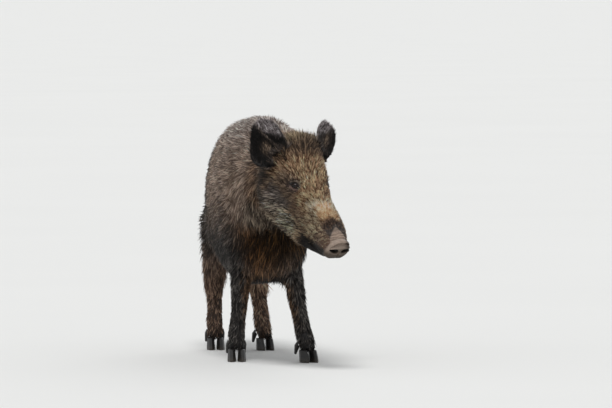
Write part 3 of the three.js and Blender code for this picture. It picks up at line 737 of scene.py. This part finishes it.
def eye_markings(points, side):
    """The rows for the lids, the rims and the corners of one eye."""
    u = head_place(points)[0]
    a, b, c = eye_place(points, side)
    close = (c > -0.004) * (u > 0.05)
    return [
        (close * (1 - rising(lid_gap(0.85 * a, b), 1.9, 2.6)), "#3d3029", "#5a4a40", 0.10),  # lids
        (close * (b > 0) * between(lid_gap(0.8 * a, b), 1.9, 2.3, 0.2), "#8d7d6e", "#b5a692", 0.45),
        (0.85 * close * between(b + 0.10 * a, -0.0092, -0.0052, 0.0012) * (np.abs(a) < 0.013),
         "#806459", "#9c8478", 0.30),  # lower lid
        # painted shade of the lids round the slit between them
        (close * (1 - rising(lid_gap(0.9 * a, b), 1.15, 1.45)), "#0c0807", "#0c0807", 0),
        (close * between(a, -0.0165, -0.0080, 0.0035) * bell(b, 0.0008, 0.0019),
         "#0f0b09", "#0f0b09", 0),  # painted shade in the back corner
        (close * between(a, 0.0080, 0.0120, 0.0025) * bell(b, -0.0008, 0.0017),
         "#15100d", "#15100d", 0),  # painted shade in the front corner
    ]


def markings(points):
    """The coat's own colour, its tips' colour and the share of pale tips, at points. The rows
    are laid over one another: each draws what lies below towards its own by how much it is on."""
    rows = body_markings(points) + head_markings(points)
    for side in (1, -1):
        rows += ear_markings(points, side) + eye_markings(points, side)
    hair, tip, pale = np.zeros((len(points), 3)), np.zeros((len(points), 3)), np.zeros(len(points))
    for cover, hair_code, tip_code, share in rows:
        cover = np.clip(cover, 0, 1)
        hair += cover[:, None] * (linear(hair_code) - hair)
        tip += cover[:, None] * (linear(tip_code) - tip)
        pale += cover * (share - pale)
    return hair, tip, pale


def ripples(points, size, seed):
    """Smooth blotches, mostly between -1 and 1: the sum of five sines divided by 2.5, along
    seeded directions and with wavelengths around this size."""
    waves = np.random.default_rng(seed).normal(size=(5, 3))
    waves = unit(waves) * np.linspace(0.8, 1.6, 5)[:, None] * 2 * np.pi / size
    return np.sin(points @ waves.T + 1.7 * np.arange(5)).sum(axis=1) / 2.5


def give_colour(mesh, colour):
    """Stores a linear colour for each point of the mesh, as its "marking" attribute."""
    values = np.ones((len(colour), 4), np.float32)
    values[:, :3] = colour
    mesh.attributes.new("marking", "FLOAT_COLOR", "POINT").data.foreach_set("color", values.ravel())


# Boar hide: thick matt skin, which shows where the hair is thin; the snout is bare, tough and a
# little damp, so it has a soft shine. It is wrinkled every 2.4 mm and pitted every 1.6 mm.
WRINKLES_PER_METRE, PITS_PER_METRE = 420.0, 620.0
hide, tree, output = new_material("boar_hide")
marking = add_node(tree, "ShaderNodeAttribute", {"attribute_name": "marking"})
place = add_node(tree, "ShaderNodeTexCoord").outputs["Object"]
pits = add_node(tree, "ShaderNodeTexVoronoi", {}, {"Vector": place, "Scale": PITS_PER_METRE})
wrinkles = add_node(tree, "ShaderNodeTexNoise", {}, {
    "Vector": place, "Scale": WRINKLES_PER_METRE, "Detail": 4.0})
mottle = add_node(tree, "ShaderNodeMapRange", {}, {
    "Value": wrinkles.outputs["Fac"], "From Min": 0.3, "From Max": 0.7, "To Min": 0.72, "To Max": 1.22})
toned = add_node(tree, "ShaderNodeVectorMath", {"operation": "SCALE"}, {
    0: marking.outputs["Color"], "Scale": mottle.outputs["Result"]})
relief = add_node(tree, "ShaderNodeMath", {"operation": "MULTIPLY_ADD"}, {
    0: pits.outputs["Distance"], 1: 0.6, 2: wrinkles.outputs["Fac"]})
bump = add_node(tree, "ShaderNodeBump", {}, {
    "Height": relief.outputs[0], "Strength": 0.5, "Distance": 0.0009})
skin_shader = add_node(tree, "ShaderNodeBsdfPrincipled", {}, {
    "Base Color": toned.outputs["Vector"], "Roughness": 0.50, "Specular IOR Level": 0.28,
    "Normal": bump.outputs["Normal"]})
tree.links.new(skin_shader.outputs[0], output.inputs["Surface"])

skin = mesh_object("skin", points, faces, hide)
hair, tip, pale = markings(points)
naked = rising(head_place(points)[0], 0.270, 0.300) * on_head(points)
give_colour(skin.data, hair * (0.55 + 0.45 * naked[:, None]))
bpy.context.view_layer.objects.active = skin
skin.select_set(True)
bpy.ops.object.mode_set(mode="EDIT")
bpy.ops.mesh.select_all(action="SELECT")
bpy.ops.uv.smart_project(angle_limit=1.15, island_margin=0.002)
bpy.ops.object.mode_set(mode="OBJECT")
skin.select_set(False)
skin.data.uv_layers[0].name = "OFBake"
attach(skin, "root")
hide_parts(*FLESH)

# ---------------------------------------------------------------------------------------------
# Coat: coarse bristles over the whole hide, each tuft a thin closed spike that follows the lie
# of the hair: back from the snout, back and down the sides, down the legs, out along the ears.


def lie_of_coat(points, normals):
    """The way the hair lies at points of the skin, flat along it: directions for each part of
    the body, mixed by how much a point belongs to each, less their share along the normal."""
    x, y, z = points.T
    _, v, _, around = head_place(points)
    one = np.ones_like(x)
    down = 0.20 + 0.75 * (1 - rising(z, 0.25, 0.56))
    down = down + 1.5 * rising(y, 0.40, 0.47) + 2.5 * rising(-y, 0.09, 0.15) * (1 - rising(z, 0.44, 0.52))
    belly = between(y, -0.10, 0.27, 0.03) * (1 - rising(z, 0.19, 0.24))
    out = 0.35 * np.sign(x) * rising(z, 0.50, 0.60) * rising(np.abs(x), 0.004, 0.03)
    lie = np.stack([out, one, -down * (1 - belly)], axis=1)
    neck = between(y, -0.40, -0.16, 0.05) * rising(z, 0.30, 0.40)
    lie += neck[:, None] * [0, 0.4, 0.25]
    leg = on_leg(points)
    lie += leg[:, None] * (np.stack([0.1 * np.sign(x), 0.30 * one, -one], axis=1) - lie)
    cheek = rising(-around, -38, 12)
    face = -ahead - cheek[:, None] * 0.85 * browward
    face = face + (np.sign(v) * (0.10 + 0.35 * between(around, 25, 75, 15)))[:, None] * leftward
    lie += on_head(points)[:, None] * (unit(face) - lie)
    for side in (1, -1):
        _, s, height = ear_place(points, side)
        _, along, _, across = ears[side]
        fan = along + (0.55 * np.clip(s, -1, 1) * np.where(height > 0, -0.9, 1))[:, None] * across
        lie += on_ear(points, side)[:, None] * (fan - lie)
        a, b, c = eye_place(points, side)
        slit, lid_up = eye_axes[side][1:3]
        parted = 1.9 * bell(np.hypot(a, b), 0, 0.021) * (c > -0.006) * on_head(points)
        out_of_eye = unit(np.stack([0.5 * a, b], axis=1)) * parted[:, None]
        lie += out_of_eye @ np.stack([slit, lid_up])
    lie += on_tail(points)[:, None] * (np.array([0, 0.25, -1]) - lie)
    return lie - (lie * normals).sum(axis=1)[:, None] * normals


def hair_sizes(points):
    """A tuft's length, its width at the root, and how high its tip rises as a share of the
    coat's depth, at points: short and fine on the face and feet, long on the chest and thighs.
    The rows are laid over one another as the markings are."""
    x, y, z = points.T
    u, _, _, around = head_place(points)
    head = on_head(points)
    by_eye = np.exp(-(eye_distance(points) / 0.024) ** 4)
    t, s, height = ear_place(points, 1)
    low_end = between(t, -0.08, 0.15, 0.06) * rising(s, 0.40, 0.65) * (s < 1.8) * (np.abs(height) < 0.02)
    rows = [
        (1 + 0 * x, 0.032, 0.0036, 0.95),  # flanks
        (rising(z, 0.53, 0.60) * (np.abs(x) < 0.08), 0.034, 0.0036, 0.85),  # top of the back
        (rising(-y, 0.10, 0.17) * (1 - rising(z, 0.30, 0.42)), 0.046, 0.0034, 1.2),  # throat and chest
        (rising(y, 0.34, 0.45), 0.038, 0.0034, 1.0),  # rump
        (on_leg(points), 0.030, 0.0030, 1.2),  # legs
        (on_leg(points) * (1 - rising(z, 0.14, 0.24)), 0.015, 0.0024, 1.0),  # lower legs
        (rising(y, 0.16, 0.28) * between(z, 0.20, 0.33, 0.06), 0.042, 0.0034, 1.5),  # thighs
        (head, 0.0170, 0.0020, 1.1),  # head
        (head * (1 - rising(u, 0.03, 0.08)) * rising(around, 20, 60), 0.019, 0.0020, 1.5),  # crown
        (head * rising(-around, 10, 45), 0.023, 0.0019, 1.25),  # jaw
        (head * rising(u, 0.07, 0.12) * rising(around, 0, 30), 0.0125, 0.0019, 1.25),  # brow
        (head * rising(u, 0.17, 0.235) * rising(around, -40, 0), 0.0105, 0.0017, 1.25),  # muzzle
        (head * rising(u, 0.25, 0.30), 0.0058, 0.0011, 1.0),  # behind the snout
        (head * by_eye, 0.0060, 0.0011, 0.9),  # round the eyes
        (on_ears(points), 0.012, 0.0016, 1.6),  # ears
        (low_end, 0.006, 0.0012, 0.25),  # where the left ear's outer rim meets the head
        (on_tail(points), 0.022, 0.0018, 1.0),  # tail
    ]
    sizes = np.zeros((len(points), 3))
    for cover, *row in rows:
        sizes += np.clip(cover, 0, 1)[:, None] * (np.array(row) - sizes)
    return sizes.T


# The skin's own triangles, which the tufts are rooted on, with their places in OFBake.
skin_points, skin_faces = mesh_arrays(skin.data)
skin_points = skin_points.astype(float)
skin_normals = outward_normals(skin_points, skin_faces)
uvs = np.empty(2 * len(skin.data.loops), np.float32)
skin.data.uv_layers["OFBake"].data.foreach_get("uv", uvs)
skin_uvs = uvs.reshape(-1, 3, 2)
corners = skin_points[skin_faces]
skin_middles = corners.mean(axis=1)
first, second = corners[:, 1] - corners[:, 0], corners[:, 2] - corners[:, 0]
skin_areas = np.linalg.norm(np.cross(first, second), axis=1)


def roots_on(cover, count, seed):
    """Places for this many tufts, spread evenly over the skin's triangles, by their area times
    how much the cover takes them in: their points, normals, places in OFBake, and draw."""
    draw = np.random.default_rng(seed)
    total = np.cumsum(skin_areas * cover)
    spots = (np.arange(count) + draw.random(count)) / count * total[-1]
    chosen = np.minimum(np.searchsorted(total, spots), len(total) - 1)
    a, b = draw.random((2, count))
    flip = a + b > 1
    a, b = np.where(flip, 1 - a, a), np.where(flip, 1 - b, b)
    share = np.stack([1 - a - b, a, b], axis=1)[:, :, None]
    normals = unit((skin_normals[skin_faces[chosen]] * share).sum(axis=1))
    return ((corners[chosen] * share).sum(axis=1), normals,
            (skin_uvs[chosen] * share).sum(axis=1), draw)


# Bristle: solid coarse hair, dark at the root and often pale at its tip, with a dull shine. A
# grain of about 2 mm stands for single hairs, which are too fine to draw.
GRAINS_PER_METRE = 480.0
bristle, tree, output = new_material("boar_bristle")
marking = add_node(tree, "ShaderNodeAttribute", {"attribute_name": "marking"})
place = add_node(tree, "ShaderNodeTexCoord").outputs["Object"]
grain = add_node(tree, "ShaderNodeTexNoise", {}, {
    "Vector": place, "Scale": GRAINS_PER_METRE, "Detail": 2.0})
mottle = add_node(tree, "ShaderNodeMapRange", {}, {
    "Value": grain.outputs["Fac"], "From Min": 0.3, "From Max": 0.7, "To Min": 0.78, "To Max": 1.22})
toned = add_node(tree, "ShaderNodeVectorMath", {"operation": "SCALE"}, {
    0: marking.outputs["Color"], "Scale": mottle.outputs["Result"]})
bristle_shader = add_node(tree, "ShaderNodeBsdfPrincipled", {}, {
    "Base Color": toned.outputs["Vector"], "Roughness": 0.58, "Specular IOR Level": 0.14})
tree.links.new(bristle_shader.outputs[0], output.inputs["Surface"])

# How deep a tuft's root sits in the skin, its thickness for its width, its square in OFBake.
ROOT_DEPTH = 0.0010
FLATNESS = 0.6
BAKE_SQUARE = 0.003


def spikes(name, roots, normals, lies, uvs, lengths, widths, rises, colours, steps):
    """An object of closed three-sided spikes. A spike's middle line runs along its lie by its
    length times t, and off the skin by its rise times 2t - t^2, so that it leaves the skin and
    then lies over; its width falls as 1 - t^1.6 from the root, at t = 0, to the tip, at t = 1.
    It has a ring of three points at each of the steps of t, and one point at its tip. In OFBake
    it is a small square at its root's place on the skin."""
    count, rings = len(roots), len(steps)
    along = unit(lies)
    beside = np.cross(along, normals)
    t = np.array(steps)[None, :, None]
    line = roots[:, None] + along[:, None] * (lengths[:, None, None] * t)
    line = line + normals[:, None] * (rises[:, None, None] * (2 * t - t * t) - ROOT_DEPTH)
    turn = 2 * np.pi * np.arange(3) / 3 + np.pi / 2
    ring = beside[:, None] * np.cos(turn)[:, None]
    ring = ring + FLATNESS * normals[:, None] * np.sin(turn)[:, None]
    wide = widths[:, None, None, None] * (0.5 * (1 - np.array(steps) ** 1.6))[None, :, None, None]
    body = (line[:, :, None] + ring[:, None] * wide).reshape(count, -1, 3)
    tip = roots + along * lengths[:, None] + normals * (rises - ROOT_DEPTH)[:, None]
    points = np.concatenate([body, tip[:, None]], axis=1)
    faces, places = [(0, 1, 2)], [((0, 0), (0.5, 0), (1, 0))]
    for j in range(rings):
        low, high = j / rings, (j + 1) / rings
        for k in range(3):
            a, b = 3 * j + k, 3 * j + (k + 1) % 3
            left, right = k / 3, (k + 1) / 3
            if j < rings - 1:
                faces += [(a, a + 3, b + 3), (a, b + 3, b)]
                places += [((left, low), (left, high), (right, high)),
                           ((left, low), (right, high), (right, low))]
            else:
                faces.append((a, 3 * rings, b))
                places.append(((left, low), ((left + right) / 2, 1), (right, low)))
    number = 3 * rings + 1
    all_faces = (np.array(faces)[None] + number * np.arange(count)[:, None, None]).reshape(-1, 3)
    made = mesh_object(name, points.reshape(-1, 3), all_faces, bristle)
    loops = uvs[:, None, None] + BAKE_SQUARE * (np.array(places)[None] - 0.5)
    made.data.uv_layers.new(name="OFBake").data.foreach_set("uv", loops.astype(np.float32).ravel())
    shade = np.concatenate([np.repeat(np.array(steps), 3), [1.0]])
    root_colour, tip_colour = colours
    mix = rising(shade, 0.10, 0.90)[None, :, None]
    colour = root_colour[:, None] * (0.30 + 0.70 * rising(shade, 0.0, 0.5))[None, :, None]
    colour = colour * (1 - mix) + tip_colour[:, None] * mix
    give_colour(made.data, colour.reshape(-1, 3))
    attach(made, "root")
    return made


def feather(points):
    """How far from its own place a tuft may take its colour: less on the muzzle, and least on
    the ears, whose two sides differ."""
    reach = 0.0035 - 0.0013 * on_head(points) * rising(head_place(points)[0], 0.16, 0.22)
    return np.where(on_ears(points) > 0.2, 0.0006, reach)


# Hair shorter than this leans together in small clumps, and longer hair in wide ones.
SHORT_HAIR = 0.0235
CLUMP_SHORT, CLUMP_LONG = 0.0038, 0.0085
CLUMPS = 4096
# Three large whole numbers that give each small cube of space the number of its clump.
CLUMP_MIX = [73856093, 19349663, 83492791]


def bristles(name, cover, count, seed, steps=(0, 0.5), grow=1.0, lift=1.0, paler=1.0):
    """A piece of the coat over a part of the skin. Tufts swing from the lie of the coat by slow
    waves and at random, and lean together in clumps, which are wider in long hair. Grow, lift
    and paler multiply the hair's own length, how high it rises and how many tips are pale."""
    count = count
    roots, normals, uvs, draw = roots_on(cover, count, seed)
    length, width, rise = hair_sizes(roots)
    lies = unit(lie_of_coat(roots, normals))
    beside = np.cross(lies, normals)
    cell = np.where(length < SHORT_HAIR, CLUMP_SHORT, CLUMP_LONG)[:, None]
    clump = np.floor(roots / cell).astype(np.int64) @ CLUMP_MIX % CLUMPS
    lean, dye = np.random.default_rng(7).normal(size=(2, CLUMPS))[:, clump]
    swing = 0.20 * ripples(roots, size=0.09, seed=3) + 0.17 * lean + 0.16 * draw.normal(size=count)
    lies = lies + beside * swing[:, None]
    even = draw.normal(size=(4, count))
    lengths = length * grow * np.clip(1 + 0.22 * even[0], 0.5, 1.6)
    rises = coat_depth(roots) * rise * lift * np.clip(0.85 + 0.28 * even[2] + 0.15 * lean, 0.15, 1.4)
    # The markings' borders are feathered: each tuft takes its colour from a place near its own.
    hair, tip, pale = markings(roots + feather(roots)[:, None] * draw.normal(size=(count, 3)))
    tipped = draw.random(count) < paler * pale * np.clip(1 + 0.8 * dye, 0.1, 2.4)
    widths = width * np.clip(1 + 0.25 * even[1], 0.5, 1.6) * 1
    tone = np.exp(0.34 * even[3] + 0.13 * ripples(roots, size=0.05, seed=11) + 0.32 * dye)[:, None]
    tips = np.where(tipped[:, None], tip, 0.85 * hair + 0.10 * tip)
    colours = hair * tone, np.clip(tips * tone ** 0.6, 0, 0.9)
    made = spikes(name, roots, normals, lies, uvs, lengths, widths, rises, colours, steps)
    return made


x, y, z = skin_middles.T
u, v, w, around = head_place(skin_middles)
head = on_head(skin_middles)
ear_cover = {side: on_ear(skin_middles, side) for side in (1, -1)}
off_ear = 1 - np.maximum(ear_cover[1], ear_cover[-1])
tail = on_tail(skin_middles)
furred = (u + 0.010 * rising(around, 20, 55) < 0.311) & (bare_nose(u, v, around) < 0.5)
for side in (1, -1):
    a, b, c = eye_place(skin_middles, side)
    furred &= ~((lid_gap(a, b) < 1.85) & (c > -0.004) & (u > 0.05))

# The face's hair is the shortest and closest: it has the most tufts for its size, and each is
# too short to bend, a straight spike of four faces.
dense = (1 + 1.2 * rising(u, 0.08, 0.16) + 1.2 * rising(u, 0.20, 0.27)) * furred
bristles("face_coat_right", (head > 0.5) * (v < 0) * dense, count=40000, seed=21, steps=(0,))
bristles("face_coat_left", (head > 0.5) * (v >= 0) * dense, count=34000, seed=22, steps=(0,))

# The longest hair bends more than the rest, so its tufts have a third ring of points.
BENT = (0, 0.35, 0.7)
body = (head <= 0.5) * off_ear * (1 - tail) * (z > 0.034)
low = on_leg(skin_middles) > 0.5
neck = body * ~low * (y < -0.10)
trunk = body * ~low * (y >= -0.10)
for name, cover, count, seed in (
        ("neck_coat_right", neck * (x < -0.005), 14500, 31),
        ("neck_coat_left", neck * (x >= -0.005), 11500, 32),
        ("flank_coat_right_front", trunk * (x < -0.010) * (y < 0.17), 12500, 41),
        ("flank_coat_right_rear", trunk * (x < -0.010) * (y >= 0.17), 11000, 42),
        ("flank_coat_left_front", trunk * (x >= -0.010) * (y < 0.17), 10500, 43),
        ("flank_coat_left_rear", trunk * (x >= -0.010) * (y >= 0.17), 10500, 44)):
    bristles(name, cover, count, seed)
for name, right, front, seed in (
        ("front_left_leg_coat", 0, 1, 51), ("front_right_leg_coat", 1, 1, 52),
        ("hind_left_leg_coat", 0, 0, 53), ("hind_right_leg_coat", 1, 0, 54)):
    cover = body * low * ((x < -0.010) == right) * ((y < 0.12) == front)
    bristles(name, cover, count=5200, seed=seed)
bristles("tail_coat", tail, count=1200, seed=61, steps=BENT, grow=1.2)
for side, name in ((1, "ear_left_coat"), (-1, "ear_right_coat")):
    bristles(name, ear_cover[side] > 0.3, count=6500, seed=70 + side)

# The crest is a mane of longer, stiffer bristles along the neck and back, which stands up a
# little from the rest.
ridge = bell(x, -0.010, 0.030) * rising(z, 0.52, 0.56) * (y > -0.30)
bristles("crest", body * ridge, count=5000, seed=81, steps=BENT, grow=1.15)

# Long pale whiskers stand out from the cheeks and hang over the edge of the jaw.
on_jaw = (head > 0.5) * between(u, 0.100, 0.245, 0.015) * between(around, -50, -14, 8)
bristles("cheek_whiskers", on_jaw, count=1600, seed=91, steps=BENT, grow=1.3, lift=1.5, paler=2.4)

# A fringe of long rusty and black hair hangs from the throat and chest between the forelegs.
on_chest = body * ~low * (y < -0.06) * (1 - rising(z, 0.26, 0.36)) * (np.abs(x + 0.01) < 0.09)
bristles("chest_fringe", on_chest, count=2200, seed=92, steps=BENT, grow=1.55, lift=1.2)

# ---------------------------------------------------------------------------------------------
# Eyes: dark brown and wet, nearly black, with a broad pupil that lies flat across. Each is a
# ball of its own behind the lids, with a slightly fuller cornea in front.

# Eye: a wet clear surface over a dark iris, so it mirrors the sky as one small bright spot. The
# iris has fibres about 0.7 mm apart.
FIBRES_PER_METRE = 1400.0
eye_glass, tree, output = new_material("boar_eye")
marking = add_node(tree, "ShaderNodeAttribute", {"attribute_name": "marking"})
place = add_node(tree, "ShaderNodeTexCoord").outputs["Object"]
fibres = add_node(tree, "ShaderNodeTexNoise", {}, {
    "Vector": place, "Scale": FIBRES_PER_METRE, "Detail": 2.0})
toned = add_node(tree, "ShaderNodeMixRGB", {"blend_type": "MULTIPLY"}, {
    "Fac": 0.6, "Color1": marking.outputs["Color"], "Color2": fibres.outputs["Fac"]})
eye_shader = add_node(tree, "ShaderNodeBsdfPrincipled", {}, {
    "Base Color": toned.outputs["Color"], "Roughness": 0.06, "IOR": 1.35})
tree.links.new(eye_shader.outputs[0], output.inputs["Surface"])

# A ball's points lie in rings round its gaze, at a distance of the radius times 1 plus the
# cornea's share, a bell curve of the angle from the gaze.
CORNEA = 0.055
RINGS, TURNS = 31, 48
for side, node in ((1, "eye_left"), (-1, "eye_right")):
    ball, slit, lid_up, gaze = eye_axes[side]
    down_from, turn = np.meshgrid(
        np.linspace(0, np.pi, RINGS + 2)[1:-1], np.linspace(0, 2 * np.pi, TURNS, endpoint=False),
        indexing="ij")
    reach = EYE_RADIUS * (1 + CORNEA * bell(down_from, 0, 0.42))
    rings = (np.cos(down_from)[..., None] * gaze
             + np.sin(down_from)[..., None]
             * (np.cos(turn)[..., None] * slit + np.sin(turn)[..., None] * lid_up))
    rings = (reach[..., None] * rings).reshape(-1, 3)
    front = EYE_RADIUS * (1 + CORNEA) * gaze
    points = ball + np.concatenate([[front], rings, [-EYE_RADIUS * gaze]])
    k, n = np.arange(TURNS), 1 + TURNS * np.arange(RINGS - 1)[:, None]
    after = (k + 1) % TURNS
    quads = np.stack([n + k, n + TURNS + k, n + TURNS + after, n + after], axis=-1).reshape(-1, 4)
    last = 1 + TURNS * (RINGS - 1)
    faces = np.concatenate([
        np.stack([0 * k, 1 + k, 1 + after], axis=1), quads[:, [0, 1, 2]], quads[:, [0, 2, 3]],
        np.stack([0 * k + len(points) - 1, last + after, last + k], axis=1)])
    if np.dot(np.cross(slit, lid_up), gaze) < 0:
        faces = faces[:, ::-1]
    a, b, _ = eye_place(points, side)
    pupil = 1 - rising(np.hypot(a / 0.0040, b / 0.0026), 0.85, 1.1)
    iris = 1 - rising(np.hypot(a, b) / 0.0072, 0.92, 1.04)
    colour = linear("#4c3a33") + iris[:, None] * (linear("#2c1a10") - linear("#4c3a33"))
    colour = colour + pupil[:, None] * (linear("#050404") - colour)
    eye = mesh_object(node + "_ball", points, faces, eye_glass)
    give_colour(eye.data, colour)
    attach(eye, "root")
    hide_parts(node)

# ---------------------------------------------------------------------------------------------
# Hooves and dewclaws: two main toes to a foot, and two small ones behind, of dark grown horn.

# Horn: ringed about every 5 mm as it grew, scuffed paler towards the ground, with a dull shine.
# A wave texture draws 20 / (2 pi) bands to the metre for each unit of its scale.
RING_SCALE, SCUFFS_PER_METRE = 64.0, 260.0
horn, tree, output = new_material("hoof_horn")
place = add_node(tree, "ShaderNodeTexCoord").outputs["Object"]
split = add_node(tree, "ShaderNodeSeparateXYZ", {}, {"Vector": place})
scuffs = add_node(tree, "ShaderNodeTexNoise", {}, {
    "Vector": place, "Scale": SCUFFS_PER_METRE, "Detail": 5.0})
growth = add_node(tree, "ShaderNodeTexWave", {"wave_type": "BANDS", "bands_direction": "Z"}, {
    "Vector": place, "Scale": RING_SCALE, "Distortion": 2.5, "Detail": 2.0})
height = add_node(tree, "ShaderNodeMapRange", {}, {
    "Value": split.outputs["Z"], "From Min": 0.0, "From Max": 0.014, "To Min": 1.0, "To Max": 0.0})
worn = add_node(tree, "ShaderNodeMath", {"operation": "MULTIPLY"}, {
    0: height.outputs["Result"], 1: scuffs.outputs["Fac"]})
shade = add_node(tree, "ShaderNodeMix", {"data_type": "RGBA"}, {
    "Factor": worn.outputs[0], "A": paint("#171412"), "B": paint("#4f463b")})
ringed = add_node(tree, "ShaderNodeMapRange", {}, {
    "Value": growth.outputs["Fac"], "To Min": 0.82, "To Max": 1.12})
toned = add_node(tree, "ShaderNodeVectorMath", {"operation": "SCALE"}, {
    0: shade.outputs["Result"], "Scale": ringed.outputs["Result"]})
bump = add_node(tree, "ShaderNodeBump", {}, {
    "Height": growth.outputs["Fac"], "Strength": 0.35, "Distance": 0.0006})
horn_shader = add_node(tree, "ShaderNodeBsdfPrincipled", {}, {
    "Base Color": toned.outputs["Vector"], "Roughness": 0.48, "Normal": bump.outputs["Normal"]})
tree.links.new(horn_shader.outputs[0], output.inputs["Surface"])

for leg in ("front_left", "front_right", "hind_left", "hind_right"):
    for toe in ("outer", "inner"):
        for kind, voxel in (("hoof", 0.0012), ("dewclaw", 0.0011)):
            node = f"{leg}_{toe}_{kind}"
            points, faces = remeshed([node], swell=0.0, voxel=voxel)
            sole = points[:, 2] < 0.0006
            points = relaxed(points, faces, passes=6, share=0.5 * ~sole)
            if kind == "hoof":
                points[:, 2] = np.where(points[:, 2] < 0.0009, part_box(node)[0][2], points[:, 2])
            shod = mesh_object(node + "_horn", points, faces, horn)
            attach(shod, "root")
            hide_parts(node)
